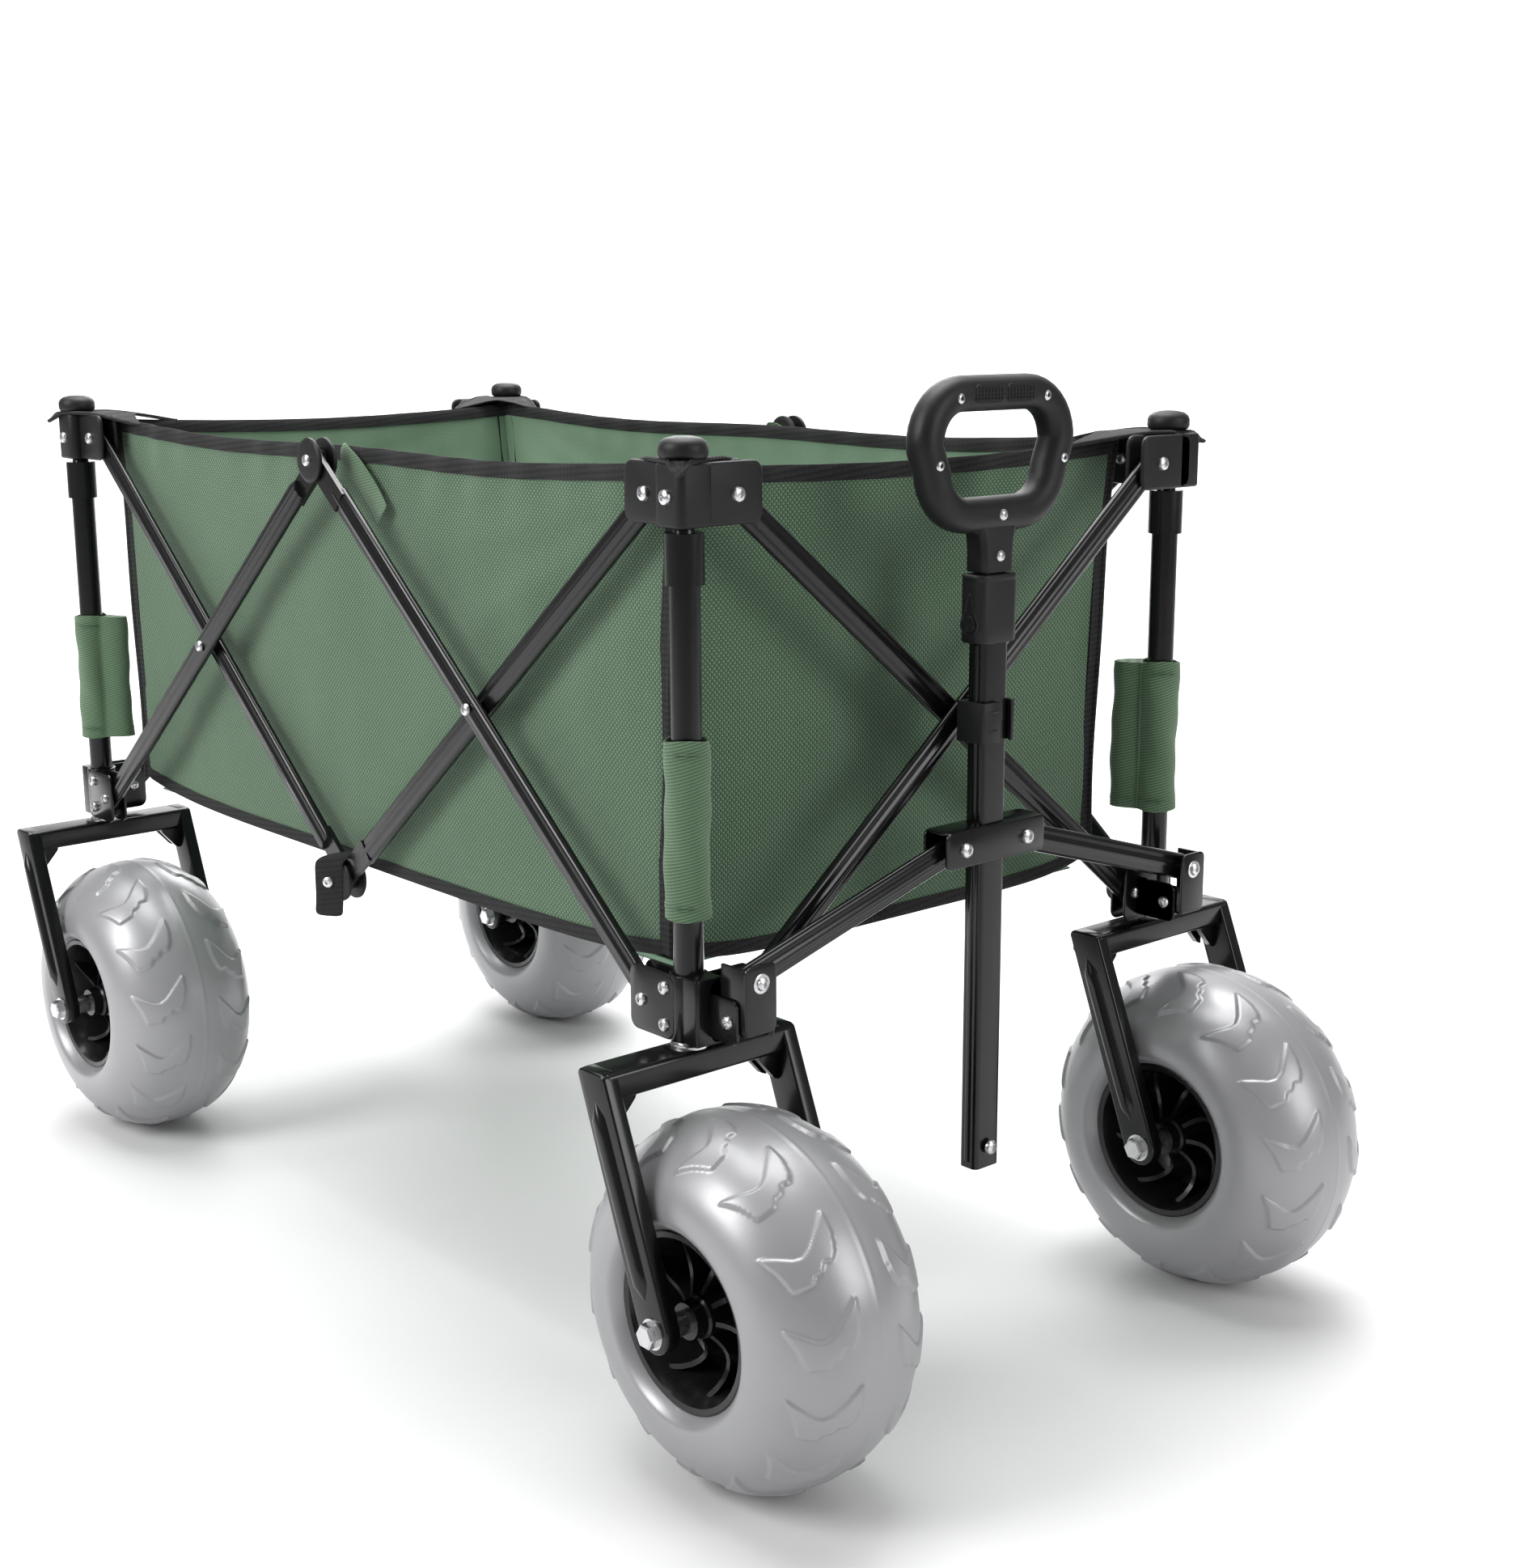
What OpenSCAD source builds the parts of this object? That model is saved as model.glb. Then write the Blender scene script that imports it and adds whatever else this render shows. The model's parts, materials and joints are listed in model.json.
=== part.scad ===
// Collapsible beach cart: a scissor frame on four balloon caster wheels, with a
// hanging fabric bag and a telescoping pull handle.
// +X runs to the handle end, +Y to the left, +Z up. The origin is on the ground,
// in the middle between the four posts.

/* [Frame] */
// Distance along X from the centre to a corner post's axis
post_x = 525; // [500:5:540]
// Distance along Y from the centre to a corner post's axis
post_y = 282.5; // [270:2.5:290]
// Distance from a post's axis to the pivot of each bar end
ear_offset = 40; // [38:0.5:42]
// Height of the lower bar pivots
lower_pivot_z = 369; // [366:1:372]
// Height of the upper bar pivots when the cart is open
upper_pivot_z = 767; // [762:1:772]
// Width of a scissor bar across its flat
bar_w = 24; // [20:0.5:24]
// Thickness of a scissor bar
bar_t = 11; // [9:0.5:11]

/* [Posts] */
// Outer diameter of the lower post tube
post_d = 24; // [23:0.5:25]
// Diameter of the upper rod that slides in the post
rod_d = 17; // [15:0.5:17.5]
// Top of the lower post tube, under its collar
post_top_z = 700; // [690:1:705]
// Diameter of the mushroom knob
knob_d = 38; // [34:1:42]

/* [Wheels] */
// Diameter of the balloon tyres
wheel_d = 300; // [295:1:302]
// Width of the balloon tyres
tyre_w = 158; // [150:1:160]
// Distance from the swivel axis back to the axle
trail = 72; // [65:1:78]
// Outer diameter of the wheel rim
rim_d = 144; // [130:2:150]
// Width of a caster fork over both legs
fork_w = 194; // [190:1:200]

/* [Handle] */
// Distance in X from the front posts to the handle tube
handle_offset = 47; // [46:0.5:50]
// Height of the bolts that join the arms to the corner channels
arm_low_z = 398; // [396:1:400]
// Height of the bolts that join the arms to the middle bracket
arm_high_z = 465; // [455:1:475]
// Bottom of the outer handle tube
tube_low_z = 177; // [170:1:200]
// Top of the grip when the handle is pushed in
grip_top_z = 850; // [840:1:856]
// Overall width of the grip
grip_w = 182; // [174:1:188]

/* [Bag] */
// Length of the fabric bag
bag_l = 980; // [960:2:984]
// Width of the fabric bag
bag_w = 512; // [490:2:516]
// Height of the bag's floor
bag_floor_z = 380; // [378:1:384]
// Height of the bag's rim
bag_rim_z = 782; // [770:1:790]

/* [Hidden] */
$fn = 48;
ends = ["fr", "fl", "rr", "rl"];
corner_at = [[1, -1], [1, 1], [-1, -1], [-1, 1]];
sides = ["right", "left"];
side_sign = [-1, 1];

gap = 0.5;
span = post_x - ear_offset;
rise = upper_pivot_z - lower_pivot_z;
bar_len = sqrt(span * span + rise * rise);
bar_angle = atan2(rise, span);
end_angle = atan2(rise, 2 * (post_y - ear_offset));
cross_z = (upper_pivot_z + lower_pivot_z) / 2;
bar_wall = 1.2;
side_outer = 7;
side_inner = -5;
end_outer = 16;
end_inner = 4;
bolt_d = 6;
bolt_hole_d = 6.2;
head_d = 10;
head_t = 3;
tongue_len = 45;
tongue_t = bar_t / 2 - 0.3;
plate = 3;
bracket_low_z = 343;
bracket_h = 54;
bracket_r = 15.5;
top_block_z = 743;
top_block_h = 48;
top_block = 34;
knob_z = 793;
rod_low_z = 372;
collar_h = 39;
stud_d = 10;
plug_h = 24;
wheel_r = wheel_d / 2;
rim_r = rim_d / 2;
tyre_close = 33;
crown_t = 22;
crown_top_z = 338;
fork_leg_w = 34;
fork_leg_t = 14;
leg_drop = crown_top_z - crown_t / 2 - wheel_r;
leg_len = sqrt(trail * trail + leg_drop * leg_drop);
leg_nx = leg_drop / leg_len * fork_leg_w / 2;
leg_nz = trail / leg_len * fork_leg_w / 2;
axle_d = 10;
hub_r = 18;
hub_half = 64;
arm_low_y = 20;
arm_high_y = 37;
arm_run = post_y - arm_low_y - arm_high_y;
arm_rise = arm_high_z - arm_low_z;
arm_len = sqrt(arm_run * arm_run + arm_rise * arm_rise);
arm_angle = atan2(arm_rise, arm_run);
channel_half = 16;
tilt_x = 46;
tilt_z = 367;
tube_w = 30;
tube_d = 20;
tube_wall = 1.8;
tube_top_z = 638;
collar_low_z = 634;
collar_top_z = 690;
button_z = 650;
grip_low_z = 724;
grip_t = 29;
cloth_t = 2;
black = [0.06, 0.06, 0.065];
silver = [0.75, 0.75, 0.77];
green = [0.22, 0.34, 0.23];

// Puts a corner's parts at its post, mirrored so that +X and +Y point outward.
module at_corner(c) {
    translate([c[0] * post_x, c[1] * post_y, 0])
        mirror([c[0] < 0 ? 1 : 0, 0, 0]) mirror([0, c[1] < 0 ? 1 : 0, 0]) children();
}

// A round bar along Y, from one Y to another.
module rod_y(d, x, z, y_low, y_high) {
    translate([x, y_low, z]) rotate([-90, 0, 0]) cylinder(d = d, h = y_high - y_low);
}

// A round bar along X, from one X to another.
module rod_x(d, y, z, x_low, x_high) {
    translate([x_low, y, z]) rotate([0, 90, 0]) cylinder(d = d, h = x_high - x_low);
}

// A pivot bolt along Y with a head at each end.
module bolt_y(x, z, y_low, y_high) {
    rod_y(bolt_d, x, z, y_low, y_high);
    rod_y(head_d, x, z, y_high, y_high + head_t);
    rod_y(head_d, x, z, y_low - head_t, y_low);
}

// A pivot bolt along X with a head at each end.
module bolt_x(y, z, x_low, x_high) {
    rod_x(bolt_d, y, z, x_low, x_high);
    rod_x(head_d, y, z, x_high, x_high + head_t);
    rod_x(head_d, y, z, x_low - head_t, x_low);
}

// A box given by its low and high corners.
module box(low, high) {
    translate(low) cube(high - low);
}

// A square-cornered tube outline with rounded corners.
module round_rect(w, d, r) {
    square([w - 2 * r, d], center = true);
    square([w, d - 2 * r], center = true);
    for (x = [-1, 1], y = [-1, 1]) translate([x * (w / 2 - r), y * (d / 2 - r)]) circle(r);
}

// A flat oval along X and Y, as thick as t.
module oval(t) {
    square([bar_w - bar_t, t], center = true);
    for (s = [-1, 1]) translate([s * (bar_w - bar_t) / 2, 0]) circle(t / 2);
}

// A flat-oval tube along +X from its pivot at the origin, with its flat facing Z. Its ends are solid.
module oval_bar(len, start, stop) {
    solid = 24;
    difference() {
        translate([start, 0, 0]) rotate([90, 0, 90]) linear_extrude(len - start - stop) oval(bar_t);
        translate([start + solid, 0, 0]) rotate([90, 0, 90]) linear_extrude(len - start - stop - 2 * solid)
            oval(bar_t - 2 * bar_wall);
    }
}

// A bar end: a round eye as thick as the bar.
module bar_eye(x, t, z) {
    translate([x, 0, z]) cylinder(d = bar_w, h = t, center = true);
}

// A flattened tongue at the bar's far end, in one half of the bar's thickness.
module tongue(len, z) {
    bar_eye(len, tongue_t, z);
    translate([len - tongue_len, -bar_w / 2, z - tongue_t / 2]) cube([tongue_len, bar_w, tongue_t]);
}

// A side bar along +X: a full eye at its post end and a tongue at its centre joint.
module side_bar(tongue_side) {
    color(black) difference() {
        union() {
            oval_bar(bar_len, 0, tongue_len);
            bar_eye(0, bar_t, 0);
            tongue(bar_len, tongue_side * bar_t / 4);
        }
        for (x = [0, bar_len / 2, bar_len]) translate([x, 0, -bar_t]) cylinder(d = bolt_hole_d, h = 2 * bar_t);
    }
}

// An end bar along +X with a full eye at both ends.
module end_bar() {
    color(black) difference() {
        union() {
            oval_bar(bar_len, 0, 0);
            for (x = [0, bar_len]) bar_eye(x, bar_t, 0);
        }
        for (x = [0, bar_len / 2, bar_len]) translate([x, 0, -bar_t]) cylinder(d = bolt_hole_d, h = 2 * bar_t);
    }
}

// Puts a side bar from its post pivot to the centre joint; up is +1 for a rising bar.
module place_side_bar(c, layer, up) {
    pivot_z = up > 0 ? lower_pivot_z : upper_pivot_z;
    translate([0, c[1] * (post_y + layer), pivot_z]) mirror([c[0] < 0 ? 1 : 0, 0, 0])
        translate([span, 0, 0]) rotate([0, up > 0 ? bar_angle - 180 : 180 - bar_angle, 0]) rotate([90, 0, 0])
        mirror([0, 0, c[1] > 0 ? 1 : 0]) children();
}

module side_bar_outer(i) {
    place_side_bar(corner_at[i], side_outer, 1) side_bar(corner_at[i][0]);
    color(silver) at_corner(corner_at[i])
        bolt_y(-ear_offset - span / 2, cross_z, side_inner - bar_t / 2 - gap, side_outer + bar_t / 2);
}

module side_bar_inner(i) {
    place_side_bar(corner_at[i], side_inner, -1) side_bar(corner_at[i][0]);
}

// Puts an end bar across the cart; from_right is +1 for the bar that rises to the left.
module place_end_bar(end, layer, from_right) {
    half = post_y - ear_offset;
    low = from_right > 0 ? lower_pivot_z : upper_pivot_z;
    translate([end * (post_x + layer), -half, low])
        rotate([from_right * end_angle, 0, 0]) rotate([0, 0, 90]) rotate([90, 0, 0]) children();
}

module end_bar_outer(end) {
    place_end_bar(end, end_outer, 1) end_bar();
    color(silver) mirror([end < 0 ? 1 : 0, 0, 0]) translate([post_x, 0, 0])
        bolt_x(0, cross_z, end_inner - bar_t / 2 - gap, end_outer + bar_t / 2);
}

module end_bar_inner(end) {
    place_end_bar(end, end_inner, -1) end_bar();
}

// The lower tube of a corner post, with its collar and the plug that takes the swivel stud.
module lower_post() {
    color(black) difference() {
        union() {
            translate([0, 0, bracket_low_z]) cylinder(d = post_d, h = post_top_z - bracket_low_z);
            translate([0, 0, post_top_z]) cylinder(d = post_d + 7, h = collar_h);
        }
        translate([0, 0, bracket_low_z - 1]) cylinder(d = stud_d + 0.1, h = plug_h);
        translate([0, 0, bracket_low_z + plug_h]) cylinder(d = rod_d + 2, h = post_top_z - bracket_low_z - plug_h);
        translate([0, 0, post_top_z - 1]) cylinder(d = rod_d + 0.1, h = collar_h + 2);
    }
}

// Two plates with rounded ends on each side of a bar end, which point along -X.
module ears_x(layer, t, z_low, z_high, reach) {
    r = 8;
    for (y = [layer + bar_t / 2 + gap, layer - bar_t / 2 - gap - t])
        translate([0, y + t, (z_low + z_high) / 2]) rotate([90, 0, 0]) linear_extrude(t)
            translate([-reach / 2, 0]) round_rect(reach, z_high - z_low, r);
}

module ears_y(layer, t, z_low, z_high, reach) {
    mirror([1, -1, 0]) ears_x(layer, t, z_low, z_high, reach);
}

// A tab in the XZ plane that carries the handle's tilt bolt.
module tilt_tab(y_low, x_low) {
    translate([0, y_low + plate, 0]) rotate([90, 0, 0]) linear_extrude(plate)
        translate([(x_low + tilt_x + 11) / 2, tilt_z]) round_rect(tilt_x + 11 - x_low, 36, 7);
}

// The folded steel bracket at the foot of a post, with the bar pivots and, at the front, the
// handle's tilt tabs. The left front corner has the inboard tab alone.
module bottom_bracket(c) {
    end_layer = c[1] < 0 ? end_outer : end_inner;
    top = bracket_low_z + bracket_h;
    front = end_layer + bar_t / 2 + gap + plate;
    color(black) difference() {
        union() {
            translate([0, 0, bracket_low_z]) cylinder(r = bracket_r, h = bracket_h);
            ears_x(side_outer, plate, bracket_low_z, top, ear_offset + 14);
            ears_y(end_layer, plate, bracket_low_z, top, ear_offset + 14);
            box([0, -13, bracket_low_z], [front, 13, top]);
        }
        translate([0, 0, bracket_low_z - 1]) cylinder(d = post_d + 0.1, h = bracket_h + 2);
        box([-bar_w - ear_offset, side_outer - bar_t / 2 - gap, bracket_low_z - 1],
            [-bracket_r, side_outer + bar_t / 2 + gap, top + 1]);
    }
    color(black) if (c[0] > 0) {
        tilt_tab(-arm_low_y - channel_half - gap - plate, front - 1);
        if (c[1] < 0) tilt_tab(-arm_low_y + channel_half + gap, front - 1);
    }
    color(silver) {
        bolt_y(-ear_offset, lower_pivot_z, side_outer - bar_t / 2 - gap - plate, side_outer + bar_t / 2 + gap + plate);
        mirror([1, -1, 0]) bolt_y(-ear_offset, lower_pivot_z, end_layer - bar_t / 2 - gap - plate, front);
        for (z = [bracket_low_z + 12, top - 12]) rod_y(9, -11, z, side_outer + bar_t / 2 + gap + plate - 1, 18.5);
        if (c[0] > 0) bolt_y(tilt_x, tilt_z, -arm_low_y - channel_half - gap - plate,
            c[1] < 0 ? -arm_low_y + channel_half + gap + plate : -arm_low_y + channel_half + gap);
    }
}

// The upper rod with the plastic bracket that carries the top bar pivots, and its knob.
module top_bracket(c) {
    end_layer = c[1] < 0 ? end_inner : end_outer;
    top = top_block_z + top_block_h;
    cheek = 5;
    color(black) {
        translate([0, 0, rod_low_z]) cylinder(d = rod_d, h = knob_z - rod_low_z + 1);
        translate([0, 0, top_block_z]) linear_extrude(top_block_h) round_rect(top_block, top_block, 6);
        ears_x(side_inner, cheek, top_block_z, top, ear_offset + 26);
        ears_y(end_layer, cheek, top_block_z, top, ear_offset + 26);
        if (c[1] > 0) box([10, -14, top_block_z], [end_layer + bar_t / 2 + gap + cheek, 14, top]);
        translate([0, 0, knob_z]) rotate_extrude() intersection() {
            translate([0, -18]) scale([1, 1.05]) circle(34);
            square([knob_d / 2, 18]);
        }
    }
    color(silver) {
        bolt_y(-ear_offset, upper_pivot_z, side_inner - bar_t / 2 - gap - cheek, side_inner + bar_t / 2 + gap + cheek);
        mirror([1, -1, 0]) bolt_y(-ear_offset, upper_pivot_z, end_layer - bar_t / 2 - gap - cheek,
            end_layer + bar_t / 2 + gap + cheek);
        rod_y(head_d, 0, upper_pivot_z, top_block / 2 - 1, top_block / 2 + 2.5);
    }
}

// The round plates and the bolt that join two side bars at a centre joint.
module centre_joint(layer, z) {
    disc_t = 4;
    low = layer - bar_t / 2 - gap - disc_t;
    high = layer + bar_t / 2 + gap;
    color(black) for (y = [low, high]) rod_y(34, 0, z, y, y + disc_t);
    color(silver) bolt_y(0, z, low, high + disc_t);
}

// One leg of a caster fork, from the crown down to the axle, as an outline in X and Z.
module leg_outline() {
    polygon([[-fork_leg_w / 2, crown_top_z], [fork_leg_w / 2, crown_top_z],
        [trail + leg_nx, wheel_r + leg_nz], [trail - leg_nx, wheel_r - leg_nz]]);
    translate([trail, wheel_r]) circle(d = fork_leg_w);
}

// The hollow inside a leg, from under the crown to above the axle.
module leg_hollow() {
    slim = (fork_leg_w - 4) / fork_leg_w;
    low = 0.82;
    polygon([[-fork_leg_w / 2 * slim, crown_top_z - crown_t], [fork_leg_w / 2 * slim, crown_top_z - crown_t],
        [trail * low + leg_nx * slim, crown_top_z - leg_drop * low], [trail * low - leg_nx * slim, crown_top_z - leg_drop * low]]);
}

// A caster fork with its swivel stud, axle bolt, spacers and hexagon heads.
module fork() {
    inner = fork_w / 2 - fork_leg_t;
    color(black) {
        box([-fork_leg_w / 2, -fork_w / 2, crown_top_z - crown_t], [fork_leg_w / 2, fork_w / 2, crown_top_z]);
        for (s = [-1, 1]) translate([0, s * (fork_w / 2 - fork_leg_t / 2) + fork_leg_t / 2, 0])
            rotate([90, 0, 0]) difference() {
                linear_extrude(fork_leg_t) leg_outline();
                translate([0, 0, 2]) linear_extrude(fork_leg_t - 4) leg_hollow();
            }
        for (s = [-1, 1]) mirror([0, s > 0 ? 0 : 1, 0]) translate([-4, inner, crown_top_z - crown_t])
            rotate([0, 90, 0]) linear_extrude(8) polygon([[0, 0], [0, -22], [22, 0]]);
    }
    color(silver) {
        translate([0, 0, crown_top_z - 1]) cylinder(d = stud_d, h = 22);
        translate([0, 0, crown_top_z - 1]) cylinder(d = 30, h = 3.5);
        translate([0, 0, crown_top_z + 2]) cylinder(d = 22, h = 2.5);
        rod_y(axle_d, trail, wheel_r, -fork_w / 2, fork_w / 2);
        for (s = [-1, 1]) mirror([0, s > 0 ? 0 : 1, 0]) {
            rod_y(16, trail, wheel_r, hub_half + gap, inner + 1);
            translate([trail, fork_w / 2 - 1, wheel_r]) rotate([-90, 0, 0]) cylinder(d = 18, h = 8, $fn = 6);
        }
    }
}

// The tyre's half section, inset by t, as points of radius and width from one bead to the other.
function tyre_points(t) = let (wide_r = wheel_r - 65, bead = wide_r - rim_r, up = 65 - t, half = tyre_w / 2 - t)
    concat([for (a = [tyre_close:-tyre_close / 3:1]) [wide_r - bead * sin(a) / sin(tyre_close), half * cos(a)]],
        [for (a = [0:10:180]) [wide_r + up * sin(a), half * cos(a)]],
        [for (a = [tyre_close / 3:tyre_close / 3:tyre_close + 1]) [wide_r - bead * sin(a) / sin(tyre_close), -half * cos(a)]]);

// The balloon tyre: a wide oval shell that closes in to the rim.
module tyre() {
    outside = tyre_points(0);
    inside = tyre_points(4);
    color([0.62, 0.63, 0.65]) translate([trail, 0, wheel_r]) rotate([90, 0, 0]) rotate_extrude($fn = 96)
        polygon(concat(outside, [for (i = [len(inside) - 1:-1:0]) inside[i]]));
}

// The dished rim: a barrel, a middle web, a hub and eight ribs on each side.
module hub() {
    rim_half = tyre_w / 2 * cos(tyre_close) - 1;
    color(black) translate([trail, 0, wheel_r]) rotate([90, 0, 0]) difference() {
        union() {
            difference() {
                cylinder(r = rim_r - 0.1, h = 2 * rim_half, center = true);
                cylinder(r = rim_r - 7, h = 2 * rim_half + 2, center = true);
            }
            cylinder(r = rim_r - 4, h = 8, center = true);
            cylinder(r = hub_r, h = 2 * hub_half, center = true);
            for (a = [0:45:315]) rotate(a) translate([hub_r - 2, -2, -rim_half + 12]) cube([rim_r - hub_r - 2, 4, 2 * rim_half - 24]);
        }
        cylinder(d = axle_d + 0.1, h = 2 * hub_half + 2, center = true);
    }
}

// The upright channel that tilts on its corner bracket and holds the end of an arm.
module handle_channel(s) {
    back = 33.5;
    front = 63;
    low = 357;
    high = 413;
    outer = -arm_low_y + channel_half;
    inner = -arm_low_y - channel_half;
    at_corner([1, s]) {
        color(black) difference() {
            union() {
                box([front - plate, inner, low], [front, outer, high]);
                box([back, outer - plate, low], [front, outer, high]);
                box([back, inner, low], [front, inner + plate, arm_low_z - 15]);
                box([front - plate - 6, inner, low], [front, outer, low + 8]);
            }
            rod_y(bolt_hole_d, tilt_x, tilt_z, inner - 1, outer + 1);
        }
        color(silver) bolt_x(-arm_low_y, arm_low_z, handle_offset - bar_t / 2 - 3, front);
    }
}

// A handle arm, from its channel up to the middle bracket.
module handle_arm(s) {
    translate([post_x + handle_offset, s * (post_y - arm_low_y), arm_low_z]) mirror([0, s > 0 ? 0 : 1, 0])
        rotate([-arm_angle, 0, 0]) rotate([0, 0, -90]) rotate([90, 0, 0]) color(black) difference() {
            union() {
                oval_bar(arm_len, 0, 0);
                for (x = [0, arm_len]) bar_eye(x, bar_t, 0);
            }
            for (x = [0, arm_len]) translate([x, 0, -bar_t]) cylinder(d = bolt_hole_d, h = 2 * bar_t);
        }
}

// The steel bracket that clamps the handle tube and takes both arms.
module handle_bracket() {
    low = arm_high_z - 15;
    high = arm_high_z + 17;
    half = arm_high_y + 22;
    depth = 14;
    translate([post_x + handle_offset, 0, 0]) {
        color(black) difference() {
            union() {
                for (x = [-depth, depth - plate]) box([x, -half, low], [x + plate, half, high]);
                box([-depth, -half, high - plate], [depth, half, high]);
                box([-depth, -20, low], [depth, 20, high]);
            }
            translate([0, 0, low - 1]) linear_extrude(high - low + 2) round_rect(tube_d + 0.1, tube_w + 0.1, 5);
            for (s = [-1, 1]) rod_x(bolt_d, s * arm_high_y, arm_high_z, -depth - 1, depth + 1);
        }
        color(silver) for (s = [-1, 1]) bolt_x(s * arm_high_y, arm_high_z, -depth, depth);
    }
}

// The outer handle tube, with its end plug and cross bolt.
module handle_tube() {
    translate([post_x + handle_offset, 0, 0]) {
        color(black) difference() {
            translate([0, 0, tube_low_z]) linear_extrude(tube_top_z - tube_low_z) round_rect(tube_d, tube_w, 5);
            translate([0, 0, tube_low_z + 30]) linear_extrude(tube_top_z - tube_low_z)
                round_rect(tube_d - 2 * tube_wall, tube_w - 2 * tube_wall, 4);
        }
        color(silver) bolt_x(0, tube_low_z + 19, -tube_d / 2, tube_d / 2);
    }
}

// The plastic collar on top of the outer tube, with a round recess for its button.
module handle_collar() {
    color(black) translate([post_x + handle_offset, 0, 0]) difference() {
        translate([0, 0, collar_low_z]) linear_extrude(collar_top_z - collar_low_z) round_rect(tube_d + 8, tube_w + 16, 9);
        translate([0, 0, collar_low_z - 1]) linear_extrude(tube_top_z - collar_low_z + 1)
            round_rect(tube_d + 0.1, tube_w + 0.1, 5);
        translate([0, 0, collar_low_z]) linear_extrude(collar_top_z) inner_outline(0.2);
        rod_y(14.4, 0, button_z, -tube_w, -tube_w / 2 - 1.5);
    }
}

module inner_outline(extra) {
    round_rect(tube_d - 2 * tube_wall - 0.8 + 2 * extra, tube_w - 2 * tube_wall - 0.8 + 2 * extra, 3.6);
}

module lock_button() {
    color(black) translate([post_x + handle_offset, 0, 0]) rod_y(14, 0, button_z, -tube_w / 2 - 9.5, -tube_w / 2 - 5);
}

// The inner tube that draws out of the outer one.
module inner_tube() {
    color(black) translate([post_x + handle_offset, 0, tube_low_z + 55]) linear_extrude(705 - tube_low_z - 55)
        difference() {
            inner_outline(0);
            inner_outline(-1.5);
        }
}

// The grip's outline: a loop with rounded corners that is wider at the top than at the foot.
module grip_outline(inset) {
    top = grip_top_z - inset;
    low = grip_low_z + inset;
    half = grip_w / 2 - inset;
    foot = half - 8;
    r = 52 - inset * 0.75;
    for (s = [-1, 1]) {
        translate([s * (half - r), top - r]) circle(r);
        translate([s * (foot - r), low + r]) circle(r);
    }
    polygon([[-half + r, top], [half - r, top], [half, top - r], [foot, low + r],
        [foot - r, low], [-foot + r, low], [-foot, low + r], [-half, top - r]]);
}

module grip() {
    thick = grip_t;
    translate([post_x + handle_offset, 0, 0]) {
        color(black) difference() {
            union() {
                translate([-thick / 2, 0, 0]) rotate([90, 0, 90]) linear_extrude(thick) difference() {
                    grip_outline(0);
                    grip_outline(grip_t);
                }
                translate([0, 0, collar_top_z + 2]) linear_extrude(grip_low_z - collar_top_z + 10)
                    round_rect(24, 36, 8);
            }
            translate([0, 0, collar_top_z]) linear_extrude(705.05 - collar_top_z) inner_outline(0.05);
        }
        color(silver) for (z = [705, 738]) rod_x(9, 0, z, 11, 15);
    }
}

// The clip on the handle tube that snaps onto the front crossing's bolt.
module handle_clip() {
    low = cross_z - 17;
    high = cross_z + 17;
    back = end_outer + bar_t / 2 + head_t + 1;
    color(black) translate([post_x, 0, 0]) difference() {
        union() {
            box([back, -tube_w / 2 - 4, low], [handle_offset, tube_w / 2 + 4, high]);
            translate([handle_offset, 0, low]) linear_extrude(high - low) round_rect(tube_d + 8, tube_w + 8, 8);
        }
        translate([handle_offset, 0, low - 1]) linear_extrude(high - low + 2) round_rect(tube_d + 0.1, tube_w + 0.1, 5);
    }
}

// Fabric walls and floor halves of the open bag.
module bag_side(s) {
    color(green) mirror([0, s > 0 ? 0 : 1, 0])
        box([-bag_l / 2 + 4, bag_w / 2 - cloth_t, bag_floor_z], [bag_l / 2 - 4, bag_w / 2, bag_rim_z]);
}

module bag_end(end) {
    color(green) mirror([end > 0 ? 0 : 1, 0, 0]) box([bag_l / 2 - cloth_t, -bag_w / 2 + cloth_t + 1, bag_floor_z],
        [bag_l / 2, bag_w / 2 - cloth_t - 1, bag_rim_z]);
}

module bag_floor(s) {
    color(green * 0.8) mirror([0, s > 0 ? 0 : 1, 0])
        box([-bag_l / 2 + 6, 0.5, bag_floor_z - 4], [bag_l / 2 - 6, bag_w / 2 - 1, bag_floor_z - 1]);
}

module mat(s) {
    color(green * 0.7) mirror([0, s > 0 ? 0 : 1, 0])
        box([-bag_l / 2 + 12, 1, bag_floor_z - 1], [bag_l / 2 - 12, bag_w / 2 - cloth_t - 4, bag_floor_z + 3]);
}

for (i = [0:3]) at_corner(corner_at[i]) lower_post();
for (i = [0:3]) at_corner(corner_at[i]) bottom_bracket(corner_at[i]);
for (i = [0:3]) at_corner(corner_at[i]) top_bracket(corner_at[i]);
for (i = [0:3]) translate([corner_at[i][0] * post_x, corner_at[i][1] * post_y, 0]) {
    fork();
    tyre();
    hub();
}
for (i = [0:3]) side_bar_outer(i);
for (i = [0:3]) side_bar_inner(i);
end_bar_outer(1);  // end_bar_outer_front
end_bar_inner(1);  // end_bar_inner_front
end_bar_outer(-1);  // end_bar_outer_rear
end_bar_inner(-1);  // end_bar_inner_rear
for (i = [0:1]) translate([0, side_sign[i] * post_y, 0]) mirror([0, side_sign[i] > 0 ? 0 : 1, 0]) {
    centre_joint(side_outer, upper_pivot_z);
    centre_joint(side_inner, lower_pivot_z);
}
for (i = [0:1]) handle_channel(side_sign[i]);
for (i = [0:1]) handle_arm(side_sign[i]);
handle_bracket();
handle_tube();
handle_collar();
lock_button();
inner_tube();
grip();
handle_clip();
for (i = [0:1]) bag_side(side_sign[i]);
bag_end(1);  // bag_end_front
bag_end(-1);  // bag_end_rear
for (i = [0:1]) bag_floor(side_sign[i]);
for (i = [0:1]) mat(side_sign[i]);
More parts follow.
